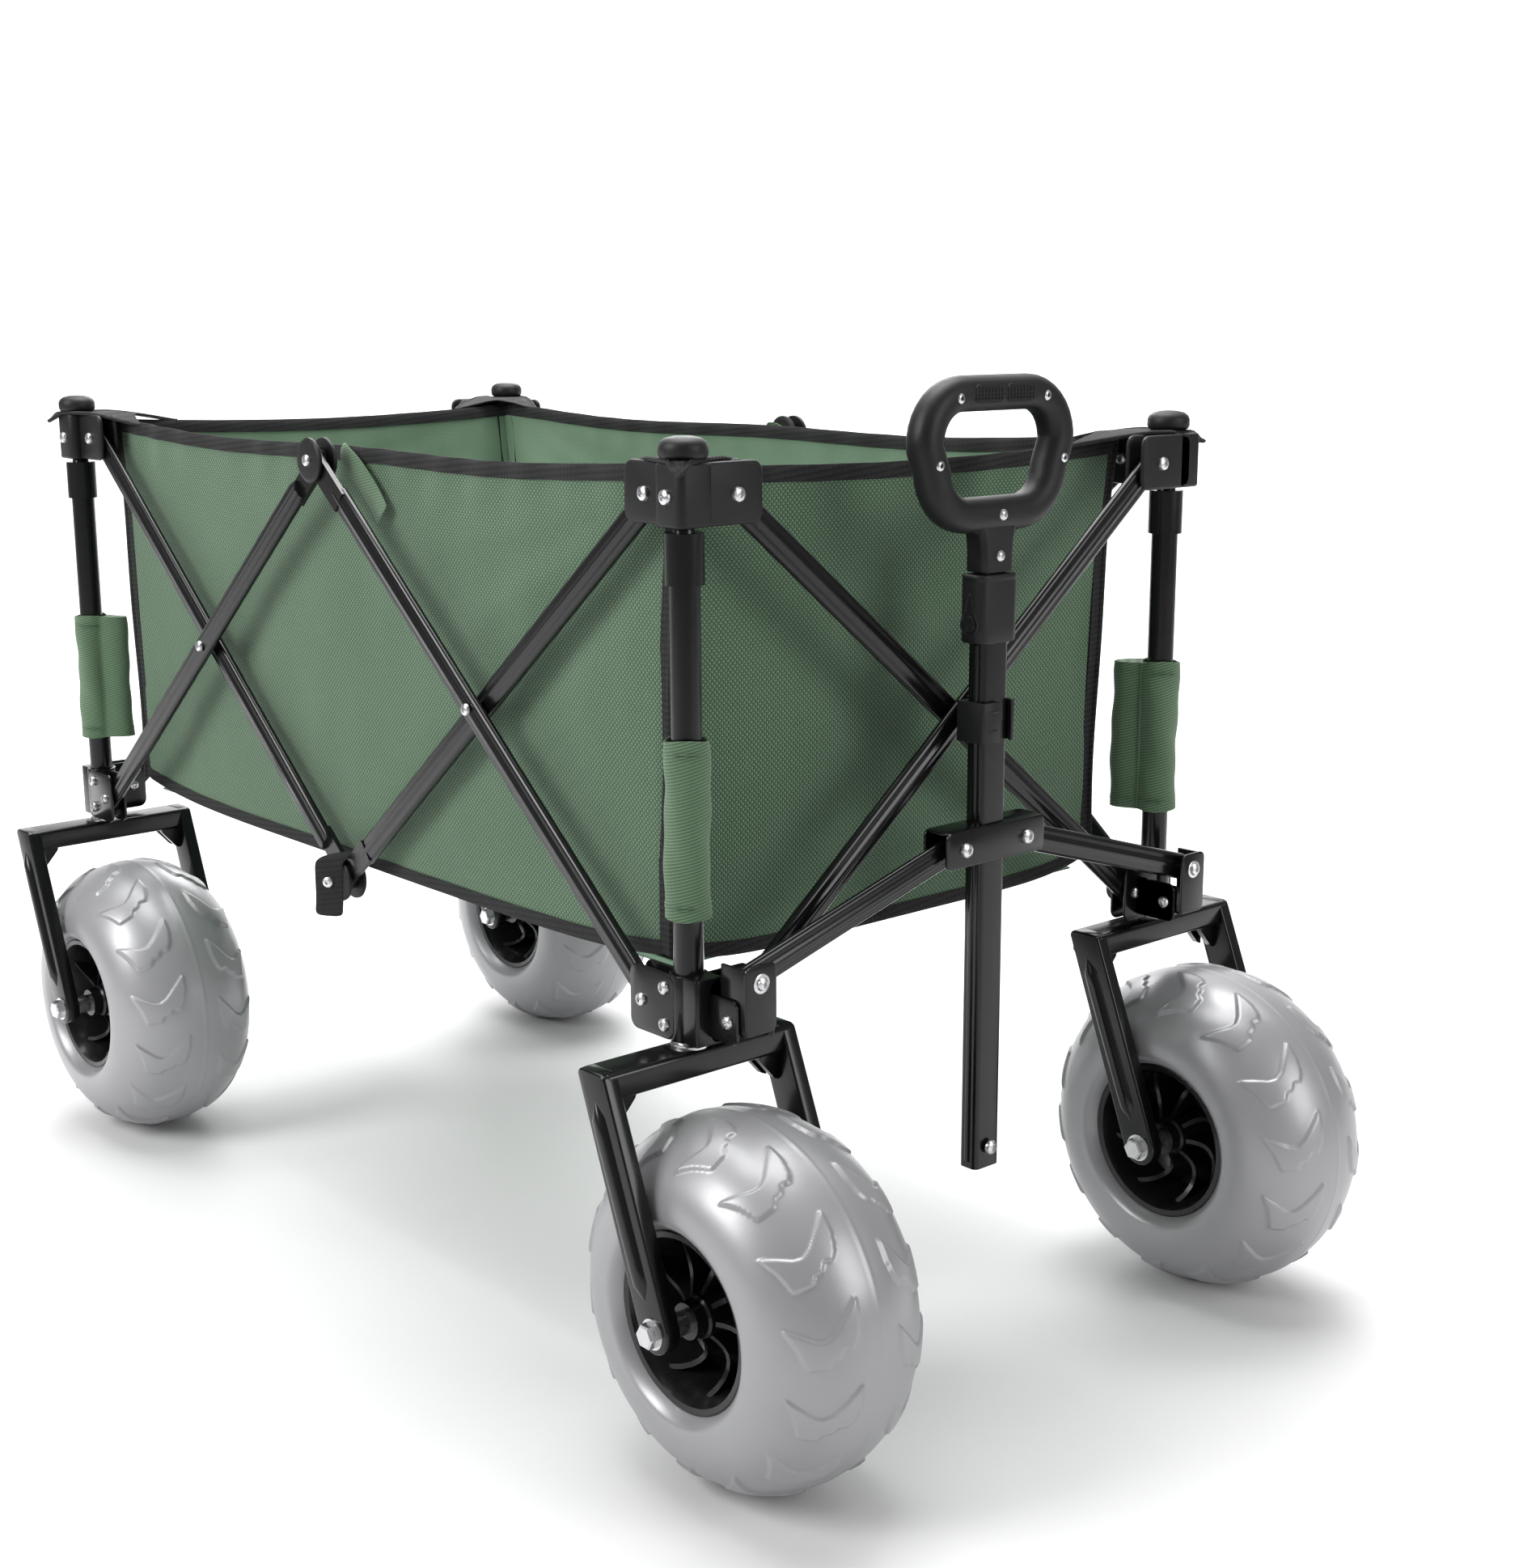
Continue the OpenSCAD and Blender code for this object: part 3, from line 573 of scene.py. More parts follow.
def makeTyre(e):
    low, high = lowHigh("tyre_" + e)
    centre = (low + high) / 2
    radius = (high.z - low.z) / 2
    half = (high.y - low.y) / 2
    rimRadius = (lowHigh("hub_" + e)[1].z - lowHigh("hub_" + e)[0].z) / 2
    r, w, s = tyreProfile(radius, rimRadius, half)
    around = tyreForm["around"]
    turn = np.arange(around) / around * 2 * pi
    height = np.zeros((around, len(s)))
    pitch = 2 * pi / tyreForm["lugs"]
    for side, shift in ((1, 0.0), (-1, 0.5)):
        local = (turn / pitch + shift) % 1.0
        along = (local - 0.5) * pitch * (radius - 0.014)
        px, py = np.meshgrid(side * s, along)
        d = insideDistance(px, py, lugOutline)
        height = np.maximum(height, np.clip(d / tyreForm["ramp"] + 0.5, 0, 1) * (px > 0))
    edge = np.clip(1 - np.abs(height - 0.5) * 2, 0, 1)
    height = height * height * (3 - 2 * height) * tyreForm["lift"] + edge * 0.0002
    seam = np.exp(-(s / 0.0012) ** 2) * 0.0007
    lift = height + seam[None, :]
    # the lift runs along the profile's own outward direction
    dr, dw = np.gradient(r), np.gradient(w)
    size = np.hypot(dr, dw)
    nr, nw = -dw / size, dr / size
    if nr[len(nr) // 2] < 0:
        nr, nw = -nr, -nw
    rr = r[None, :] - 0.0009 + lift * nr[None, :]
    ww = w[None, :] + lift * nw[None, :]
    x = centre.x + rr * np.cos(turn)[:, None]
    z = centre.z + rr * np.sin(turn)[:, None]
    y = centre.y + ww
    verts = np.stack([x, y, z], -1).reshape(-1, 3)
    n = len(s)
    i, k = np.meshgrid(np.arange(around), np.arange(n - 1), indexing="ij")
    j = (i + 1) % around
    quads = np.stack([i * n + k, i * n + k + 1, j * n + k + 1, j * n + k], -1).reshape(-1, 4)
    # a plain inner ring closes the shell behind the bead
    inner = len(verts)
    ring = []
    for m in range(around):
        for y0 in (w[0], w[-1]):
            ring.append((centre.x + (rimRadius - 0.003) * cos(turn[m]), centre.y + y0, centre.z + (rimRadius - 0.003) * sin(turn[m])))
    verts = np.concatenate([verts, np.array(ring)])
    faces = quads.tolist()
    for m in range(around):
        q = (m + 1) % around
        faces.append((m * n, q * n, inner + 2 * q, inner + 2 * m))
        faces.append((q * n + n - 1, m * n + n - 1, inner + 2 * m + 1, inner + 2 * q + 1))
        faces.append((inner + 2 * m, inner + 2 * q, inner + 2 * q + 1, inner + 2 * m + 1))
    shape = Shape()
    shape.add(verts, faces)
    shape.piece("tyre_skin_" + e, palette["tyre"], "wheel_" + corners[e]["body"], smooth=60, replaces=("tyre_" + e,))


rimForm = {"spokes": 8, "dish": 0.020, "fin": 0.0042, "boss": 0.0185, "lip": 0.0035}


def makeRim(e):
    centre = middle("hub_" + e)
    low, high = lowHigh("hub_" + e)
    outer = (high.z - low.z) / 2
    bead = tyreEdge(e)
    shape = Shape()
    f = rimForm
    bossHalf = (high.y - low.y) / 2
    wall = outer - 0.0065
    for side in (1, -1):
        aim = (0, side, 0)
        ring = [(outer - 0.001, 0), (outer - 0.001, bead - 0.002), (outer + 0.0012, bead), (outer + 0.0014, bead + 0.0022),
                (outer - 0.001, bead + f["lip"]), (wall + 0.001, bead + 0.0026), (wall - 0.002, bead - 0.004),
                (wall - 0.006, bead - 0.020), (wall - 0.012, f["dish"] + 0.006), (wall - 0.019, f["dish"]),
                (0.030, f["dish"] - 0.004), (f["boss"] + 0.004, f["dish"] - 0.002), (f["boss"], f["dish"] + 0.006),
                (f["boss"] - 0.0012, bossHalf - 0.012), (f["boss"] - 0.003, bossHalf - 0.010),
                (f["boss"] - 0.004, bossHalf), (0.006, bossHalf), (0.006, 0)]
        shape.lathe(ring, centre, aim, 72)
        for k in range(f["spokes"]):
            start = 2 * pi * k / f["spokes"]
            path, tops = [], []
            for m in range(9):
                t = m / 8
                r = f["boss"] - 0.001 + t * (wall - 0.003 - f["boss"])
                a = start + side * (0.05 + 0.50 * t * t)
                path.append((centre.x + r * cos(a), centre.z + r * sin(a)))
                tops.append(f["dish"] + 0.030 - 0.011 * sin(pi * t) + 0.006 * t)
            pts, faces = [], []
            for m, (x, z) in enumerate(path):
                x2, z2 = path[min(m + 1, 8)]
                x1, z1 = path[max(m - 1, 0)]
                dx, dz = x2 - x1, z2 - z1
                size = hypot(dx, dz)
                nx, nz = -dz / size * f["fin"] / 2, dx / size * f["fin"] / 2
                for s, h in ((1, f["dish"] - 0.005), (1, tops[m]), (-1, tops[m]), (-1, f["dish"] - 0.005)):
                    pts.append((x + s * nx, centre.y + side * h, z + s * nz))
            for m in range(8):
                faces += [(4 * m + q, 4 * m + (q + 1) % 4, 4 * m + 4 + (q + 1) % 4, 4 * m + 4 + q) for q in range(4)]
            faces += [(0, 1, 2, 3), (32, 33, 34, 35)]
            shape.add(pts, faces)
    shape.piece("rim_" + e, palette["rim"], "wheel_" + corners[e]["body"], smooth=32, replaces=("hub_" + e,))
    valve = Shape()
    at = radians(122)
    spot = centre + Vector((0.107 * cos(at), -0.0735, 0.107 * sin(at)))
    valve.lathe([(0.0085, -0.002), (0.0085, 0.001), (0.0065, 0.0016), (0.0045, 0.0004), (0.0038, 0.006), (0.0022, 0.0072), (0, 0.0074)],
                spot, (0, -1, 0), 20)
    valve.piece("valve_" + e, palette["plastic"], "wheel_" + corners[e]["body"], smooth=35)


def tyreEdge(e):
    low, high = lowHigh("tyre_" + e)
    return (high.y - low.y) / 2 * cos(radians(33))


for e in corners:
    makeTyre(e)
    makeRim(e)
print("wheels made")


# caster forks
forkForm = {"leg": 0.034, "thick": 0.014, "crown": 0.022, "top": 0.338, "bevel": 0.0032, "rib": 0.0055}


def makeFork(e):
    f = forkForm
    c = corners[e]
    post = middle("lower_post_" + e)
    axle = middle("hub_" + e)
    low, high = lowHigh("fork_" + e)
    half = (high.y - low.y) / 2 - 0.007
    trail = axle.x - post.x
    drop = f["top"] - f["crown"] / 2 - axle.z
    size = hypot(trail, drop)
    ux, uz = trail / size, -drop / size
    nx, nz = -uz, ux
    shape = Shape()
    crown = roundRect(f["leg"], f["crown"], 0.004, 0, f["top"] - f["crown"] / 2)
    shape.prism(crown, "XZ", -half + 0.004, half - 0.004)
    w = f["leg"] / 2
    rise = f["top"] + 0.0004
    outline = [(-w - 0.0003, rise - 0.005), (-w + 0.0012, rise - 0.0015), (-w + 0.005, rise),
               (w - 0.005, rise), (w - 0.0012, rise - 0.0015), (w + 0.0003, rise - 0.005)]
    end = [(trail + w * cos(a), axle.z + w * sin(a)) for a in
           [atan2(nz, nx) - pi * k / 10 for k in range(11)]]
    outline += end
    for s in (1, -1):
        a, b = s * (half - f["thick"]), s * half
        shape.prism(outline, "XZ", min(a, b), max(a, b))
    at = lambda v: Vector((post.x + v.x, post.y + v.y, v.z))
    shape.piece("fork_frame_" + e, palette["steel"], "caster_" + c["body"], at, f["bevel"], 3, 40,
                ("fork_" + e,))
    extra = Shape()
    for s in (1, -1):
        y = s * (half - 0.0006)
        path, count = [], 12
        for k in range(count + 1):
            t = 0.07 + 0.80 * k / count
            path.append((trail * t, y, f["top"] - f["crown"] / 2 - drop * t))
        section = [(0.0078 * cos(q), f["rib"] * sin(q)) for q in [pi * k / 8 for k in range(9)]]
        pts, n = [], len(section)
        for k, p in enumerate(path):
            ends = min(1.0, sqrt(max(0.02, 1 - abs(k / count * 2 - 1) ** 14)))
            pts += [(p[0] + nx * u * ends, p[1] + s * v * ends, p[2] + nz * u * ends) for u, v in section]
        faces = [(i * n + k, i * n + k + 1, (i + 1) * n + k + 1, (i + 1) * n + k) for i in range(count) for k in range(n - 1)]
        faces += [(i * n + n - 1, i * n, (i + 1) * n, (i + 1) * n + n - 1) for i in range(count)]
        faces += [list(range(n)), list(range(count * n, count * n + n))]
        extra.add(pts, faces)
        inner = s * (half - f["thick"])
        z = f["top"] - f["crown"]
        for x in (-0.011, 0.005):
            gusset = [(inner + s * 0.001, z + 0.001), (inner + s * 0.001, z - 0.024), (inner - s * 0.004, z - 0.022),
                      (inner - s * 0.020, z - 0.004), (inner - s * 0.022, z + 0.001)]
            extra.prism(gusset, "YZ", x, x + 0.006)
    extra.piece("fork_ribs_" + e, palette["steel"], "caster_" + c["body"], at, 0.0, 2, 50)
    metal = Shape()
    metal.lathe([(0.0155, 0), (0.0155, 0.0022), (0.0145, 0.003), (0.0060, 0.003)], (0, 0, f["top"] - 0.0003), (0, 0, 1), 40)
    metal.lathe([(0.0120, 0), (0.0125, 0.0008), (0.0120, 0.0018), (0.0050, 0.0018)], (0, 0, f["top"] + 0.0027), (0, 0, 1), 40)
    for s in (1, -1):
        metal.rod((trail, s * 0.060, axle.z), (trail, s * (half - f["thick"] + 0.001), axle.z), 0.0095, 28)
        metal.rod((trail, s * (half - 0.001), axle.z), (trail, s * (half + 0.0012), axle.z), 0.0122, 32)
    metal.piece("fork_washers_" + e, palette["bolt"], "caster_" + c["body"], at, 0.0, 2, 35)
    spots = [(at(Vector((trail, s * (half + 0.001), axle.z))), (0, s, 0)) for s in (1, -1)]
    placeHeads("axle_bolts_" + e, "hex", spots, "caster_" + c["body"])


for e in corners:
    makeFork(e)
print("forks made")


# posts and brackets
for e in corners:
    node = frame["nodes"]["lower_post_" + e]
    node.data.materials.clear()
    node.data.materials.append(palette["steel"])

bracketForm = {"low": 0.343, "high": 0.397, "r": 0.0155, "plate": 0.003, "reach": 0.055, "bevel": 0.0012}
layers = {"sideOuter": 0.007, "sideInner": -0.005, "endOuter": 0.016, "endInner": 0.004, "half": 0.006}


def earPlate(shape, layer, t, z0, z1, reach, along, r=0.008, face=1):
    # one ear plate beside a bar end; along "x" runs to -X, along "y" to -Y
    near = layer + face * layers["half"]
    low, high = min(near, near + face * t), max(near, near + face * t)
    outline = roundRect(reach, z1 - z0, r, -reach / 2, (z0 + z1) / 2)
    shape.prism(outline, "XZ" if along == "x" else "YZ", low, high)


def makeBottomBracket(e):
    b = bracketForm
    c = corners[e]
    right = c["y"] < 0
    end = layers["endOuter"] if right else layers["endInner"]
    front = end + layers["half"] + b["plate"]
    shape = Shape()
    shape.lathe([(b["r"], 0), (b["r"], b["high"] - b["low"]), (0.0121, b["high"] - b["low"]), (0.0121, 0)],
                (0, 0, b["low"]), (0, 0, 1), 48)
    for face in (1, -1):
        earPlate(shape, layers["sideOuter"], b["plate"], b["low"], b["high"], b["reach"], "x", 0.009, face)
        earPlate(shape, end, b["plate"], b["low"], b["high"], b["reach"], "y", 0.009, face)
    shape.prism(roundRect(front - 0.006, 0.026, 0.003, (front + 0.006) / 2, 0), "XY", b["low"], b["high"])
    if c["x"] > 0:
        tilt = jointAt["handle_tilt"]
        tx = tilt.x - postX
        far = tx + 0.011
        outline = roundRect(far - front + 0.004, 0.036, 0.007, (far + front - 0.004) / 2, tilt.z)
        shape.prism(outline, "XZ", -0.0395, -0.0365)
        if right:
            shape.prism(outline, "XZ", -0.0035, -0.0005)
        else:
            reachBack = roundRect(far - end, 0.036, 0.007, (far + end) / 2, tilt.z)
            shape.prism(reachBack, "XZ", -0.0395, -0.0365)
    shape.piece("foot_bracket_" + e, palette["steel"], "post_" + c["body"], cornerPlace(e), b["bevel"], 2, 40,
                ("bottom_bracket_" + e,))
    place = cornerPlace(e)
    out = layers["sideOuter"] + layers["half"] + b["plate"]
    spots = [(place(Vector((-earOffset, out, lowPivotZ))), (0, c["y"], 0)),
             (place(Vector((-0.011, out, b["high"] - 0.012))), (0, c["y"], 0)),
             (place(Vector((-0.011, out, b["low"] + 0.012))), (0, c["y"], 0)),
             (place(Vector((-earOffset, layers["sideOuter"] - 0.009, lowPivotZ))), (0, -c["y"], 0)),
             (place(Vector((front, -earOffset, lowPivotZ))), (c["x"], 0, 0)),
             (place(Vector((end - 0.009, -earOffset, lowPivotZ))), (-c["x"], 0, 0))]
    if c["x"] > 0:
        tilt = jointAt["handle_tilt"]
        tx = tilt.x - postX
        spots.append((place(Vector((tx, -0.0395, tilt.z))), (0, -c["y"], 0)))
        spots.append((place(Vector((tx, -0.0005 if right else -0.004, tilt.z))), (0, c["y"], 0)))
        pin = Shape()
        pin.rod((tx, -0.0395, tilt.z), (tx, -0.0005 if right else -0.004, tilt.z), 0.003)
        pin.piece("tilt_bolt_" + e, palette["bolt"], "post_" + c["body"], place)
    placeHeads("foot_screws_" + e, "pan", spots, "post_" + c["body"])


topForm = {"low": 0.743, "high": 0.791, "wall": 0.005, "reach": 0.066, "bevel": 0.003}


def makeTopBracket(e):
    t = topForm
    c = corners[e]
    right = c["y"] < 0
    end = layers["endInner"] if right else layers["endOuter"]
    place = cornerPlace(e)
    shape = Shape()
    shape.prism(roundRect(0.034, 0.034, 0.008), "XY", t["low"], t["high"])
    for face in (1, -1):
        earPlate(shape, layers["sideInner"], t["wall"], t["low"], t["high"], t["reach"], "x", 0.009, face)
        earPlate(shape, end, t["wall"], t["low"], t["high"], t["reach"], "y", 0.009, face)
    if not right:
        shape.prism(roundRect(0.020, 0.030, 0.004, 0.017, -0.002), "XY", t["low"], t["high"])
    shape.piece("top_casting_" + e, palette["plastic"], "top_" + c["body"], place, t["bevel"], 3, 40,
                ("top_bracket_" + e,))
    low, high = lowHigh("top_bracket_" + e)
    rod = Shape()
    rod.rod((0, 0, low.z), (0, 0, t["low"] + 0.002), 0.0085, 32)
    rod.piece("upper_rod_" + e, palette["steel"], "top_" + c["body"], place, 0.0008)
    knob = Shape()
    r = 0.019
    k = 0.793
    rise = high.z - k
    profile = [(0.0, 0.0), (r - 0.005, 0.0), (r - 0.0015, 0.0012), (r, 0.004), (r, rise * 0.55), (r - 0.0015, rise * 0.74),
               (r - 0.005, rise * 0.89), (r - 0.011, rise * 0.97), (0, rise)]
    knob.lathe(profile, (0, 0, k), (0, 0, 1), 48)
    knob.rod((0, 0, t["high"] - 0.002), (0, 0, k + 0.002), 0.011, 32)
    knob.piece("knob_" + e, palette["plastic"], "top_" + c["body"], place, 0.0, 2, 50)
    out = layers["sideInner"] + layers["half"] + t["wall"]
    front = end + layers["half"] + t["wall"]
    spots = [(place(Vector((-earOffset, out, topPivotZ - 0.001))), (0, c["y"], 0)),
             (place(Vector((0, 0.017, topPivotZ - 0.001))), (0, c["y"], 0)),
             (place(Vector((front, -earOffset, topPivotZ - 0.001))), (c["x"], 0, 0)),
             (place(Vector((-earOffset, layers["sideInner"] - 0.011, topPivotZ))), (0, -c["y"], 0)),
             (place(Vector((end - 0.011, -earOffset, topPivotZ))), (-c["x"], 0, 0))]
    placeHeads("top_screws_" + e, "pan", spots, "top_" + c["body"], size=1.1)


for e in corners:
    makeBottomBracket(e)
    makeTopBracket(e)
print("brackets made")


# scissor bars and centre joints
barForm = {"wide": 0.024, "thick": 0.011, "ridge": 0.0014, "tongue": 0.045}


def barSection(wide, thick, ridge, steps=7):
    # flat oval with a low rounded ridge along the middle of each face
    pts = []
    edge = thick / 2 - ridge
    flat = wide / 2 - edge
    for s in (1, -1):
        for k in range(steps + 1):
            a = -pi / 2 + pi * k / steps
            pts.append((s * (flat + edge * cos(a)), s * edge * sin(a)))
        for t, share in ((0.12, 0.0), (0.24, 0.12), (0.33, 0.5), (0.42, 0.88), (0.5, 1.0),
                         (0.58, 0.88), (0.67, 0.5), (0.76, 0.12), (0.88, 0.0)):
            pts.append((s * flat * (1 - 2 * t), s * (edge + ridge * share)))
    return pts


def makeBar(name, start, end, across, body, node, tongueSide=0):
    # start and end are the pivots; across is the bar's thin direction, pointing outward
    start, end, across = Vector(start), Vector(end), Vector(across).normalized()
    along = (end - start).normalized()
    flat = along.cross(across)
    section = barSection(barForm["wide"], barForm["thick"], barForm["ridge"])
    length = (end - start).length
    stop = length - (barForm["tongue"] if tongueSide else 0)
    r = barForm["wide"] / 2
    stations = []
    for k in range(7):
        a = pi / 2 * (1 - k / 6)
        stations.append((-r * sin(a), max(0.12, cos(a))))
    stations += [(length * 0.25, 1), (length * 0.5, 1), (length * 0.75, 1)]
    if tongueSide:
        stations += [(stop - 0.006, 1.0), (stop, 0.8)]
    else:
        for k in range(7):
            a = pi / 2 * k / 6
            stations.append((length + r * sin(a), max(0.12, cos(a))))
    shape = Shape()
    pts, n = [], len(section)
    for at, share in stations:
        for u, v in section:
            pts.append(start + along * at + flat * (u * share) + across * v)
    faces = [(i * n + k, i * n + (k + 1) % n, (i + 1) * n + (k + 1) % n, (i + 1) * n + k)
             for i in range(len(stations) - 1) for k in range(n)]
    faces += [list(range(n))[::-1], list(range((len(stations) - 1) * n, len(stations) * n))]
    shape.add(pts, faces)
    if tongueSide:
        mid = tongueSide * barForm["thick"] / 4
        t = barForm["thick"] / 4 - 0.0003
        outline = [(stop - 0.012, -r + 0.001), (length - 0.002, -r + 0.001)]
        outline += [(length + (r - 0.001) * cos(a), (r - 0.001) * sin(a)) for a in [-pi / 2 + pi * k / 10 for k in range(1, 10)]]
        outline += [(length - 0.002, r - 0.001), (stop - 0.012, r - 0.001)]
        m = len(outline)
        pts = [start + along * u + flat * v + across * (mid + w) for w in (-t, t) for u, v in outline]
        shape.add(pts, [list(range(m)), list(range(2 * m - 1, m - 1, -1))] +
                  [(i, (i + 1) % m, (i + 1) % m + m, i + m) for i in range(m)])
    return shape.piece(name, palette["steel"], body, None, 0.0, 2, 40, (node,))


for e, c in corners.items():
    sx, sy = c["x"], c["y"]
    for kind, layer, z0, z1 in (("outer", layers["sideOuter"], lowPivotZ, topPivotZ), ("inner", layers["sideInner"], topPivotZ, lowPivotZ)):
        y = sy * (postY + layer)
        makeBar(f"side_tube_{kind}_{e}", (sx * (postX - earOffset), y, z0), (0, y, z1), (0, sy, 0),
                f"bar_{kind}_{c['body']}", f"side_bar_{kind}_{e}", sx)
    spot = Vector((sx * (postX - earOffset) / 2, sy * (postY + layers["sideOuter"] + barForm["thick"] / 2), crossZ))
    placeHeads("cross_bolt_" + e, "pan", [(spot, (0, sy, 0))], f"bar_outer_{c['body']}")
for end, sx in (("front", 1), ("rear", -1)):
    for kind, layer, z0, z1 in (("outer", layers["endOuter"], lowPivotZ, topPivotZ), ("inner", layers["endInner"], topPivotZ, lowPivotZ)):
        x = sx * (postX + layer)
        half = postY - earOffset
        makeBar(f"end_tube_{kind}_{end}", (x, -half, z0), (x, half, z1), (sx, 0, 0), f"cross_{kind}_{end}", f"end_bar_{kind}_{end}")
    spot = Vector((sx * (postX + layers["endOuter"] + barForm["thick"] / 2), 0, crossZ))
    placeHeads("cross_bolt_" + end, "pan", [(spot, (sx, 0, 0))], "cross_outer_" + end)


# disc is (radius, height) from its seat; the screw of the lower one sits on the turned webbing tab
jointForm = {"disc": ((0.0, 0.0), (0.0200, 0.0), (0.0205, 0.0008), (0.0205, 0.0028), (0.0194, 0.0038), (0.0160, 0.0042), (0.0, 0.0042)),
             "thick": 0.0042, "pin": 0.003, "pinHalf": 0.006, "tabHalf": 0.0150, "tabTurn": 34, "onTab": 0.0018}


def makeCentreJoint(name, side, node, layer, z):
    f = jointForm
    sy = sideSign[side]
    body = node.replace("top_joint", "joint_top").replace("bottom_joint", "joint_bottom")
    shape = Shape()
    for face in (1, -1):
        y = sy * (postY + layer + face * layers["half"])
        shape.lathe(list(f["disc"]), (0, y, z), (0, sy * face, 0), 40)
    shape.rod((0, sy * (postY + layer - f["pinHalf"]), z), (0, sy * (postY + layer + f["pinHalf"]), z), f["pin"])
    shape.piece(name, palette["plastic"], body, None, 0.0, 2, 40, (node,))
    low = "bottom" in node
    turn = radians(f["tabTurn"]) if low else 0.0
    out = layer + layers["half"] + f["thick"] + (f["tabHalf"] * sin(turn) + f["onTab"] if low else 0.0)
    spots = [(Vector((0, sy * (postY + out), z)), (sin(turn), sy * cos(turn), 0)),
             (Vector((0, sy * (postY + layer - layers["half"] - f["thick"]), z)), (0, -sy, 0))]
    placeHeads(name + "_heads", "pan", spots, body)


for side in sideSign:
    makeCentreJoint("centre_disc_top_" + side, side, "top_joint_" + side, layers["sideOuter"], topPivotZ)
    makeCentreJoint("centre_disc_low_" + side, side, "bottom_joint_" + side, layers["sideInner"], lowPivotZ)
print("bars made")


# pull handle
def makeChannel(side):
    s = sideSign[side]
    low, high = lowHigh("handle_channel_" + side)
    x0, x1 = low.x, high.x - 0.003
    inner, outer = 0.2465, 0.2785
    t = 0.003
    shape = Shape()
    rim = roundRect(outer - inner, high.z - low.z, 0.006, (inner + outer) / 2, (low.z + high.z) / 2)
    shape.prism(rim, "YZ", x1 - t, x1)
    shape.box((x0, outer - t, low.z + 0.002), (x1 - 0.001, outer, high.z - 0.002))
    shape.box((x0, inner, low.z + 0.002), (x1 - 0.001, inner + t, jointAt["arm_right_low"].z - 0.015))
    shape.box((x1 - 0.009, inner + 0.001, low.z), (x1 - 0.001, outer - 0.001, low.z + 0.008))
    place = lambda v: Vector((v.x, s * v.y, v.z))
    shape.piece("channel_plate_" + side, palette["steel"], "channel_" + side, place, 0.001, 2, 40,
                ("handle_channel_" + side,))
    arm = jointAt["arm_right_low"]
    pin = Shape()
    pin.rod((arm.x - 0.0085, abs(arm.y), arm.z), (x1, abs(arm.y), arm.z), 0.003)
    pin.lathe([(0.008, 0), (0.008, 0.0008), (0.0072, 0.0012), (0.004, 0.0012)], (x1 - 0.0002, abs(arm.y), arm.z), (1, 0, 0), 32)
    pin.piece("channel_pin_" + side, palette["bolt"], "channel_" + side, place, 0, 2, 35)
    placeHeads("channel_screw_" + side, "pan", [(Vector((x1 + 0.0006, s * abs(arm.y), arm.z)), (1, 0, 0))], "channel_" + side)


for side, s in sideSign.items():
    makeChannel(side)
    low, high = jointAt["arm_right_low"], jointAt["arm_right_high"]
    makeBar("arm_tube_" + side, (low.x, s * abs(low.y), low.z), (high.x, s * abs(high.y), high.z), (1, 0, 0),
            "arm_" + side, "handle_arm_" + side)

handleX = jointAt["arm_right_high"].x


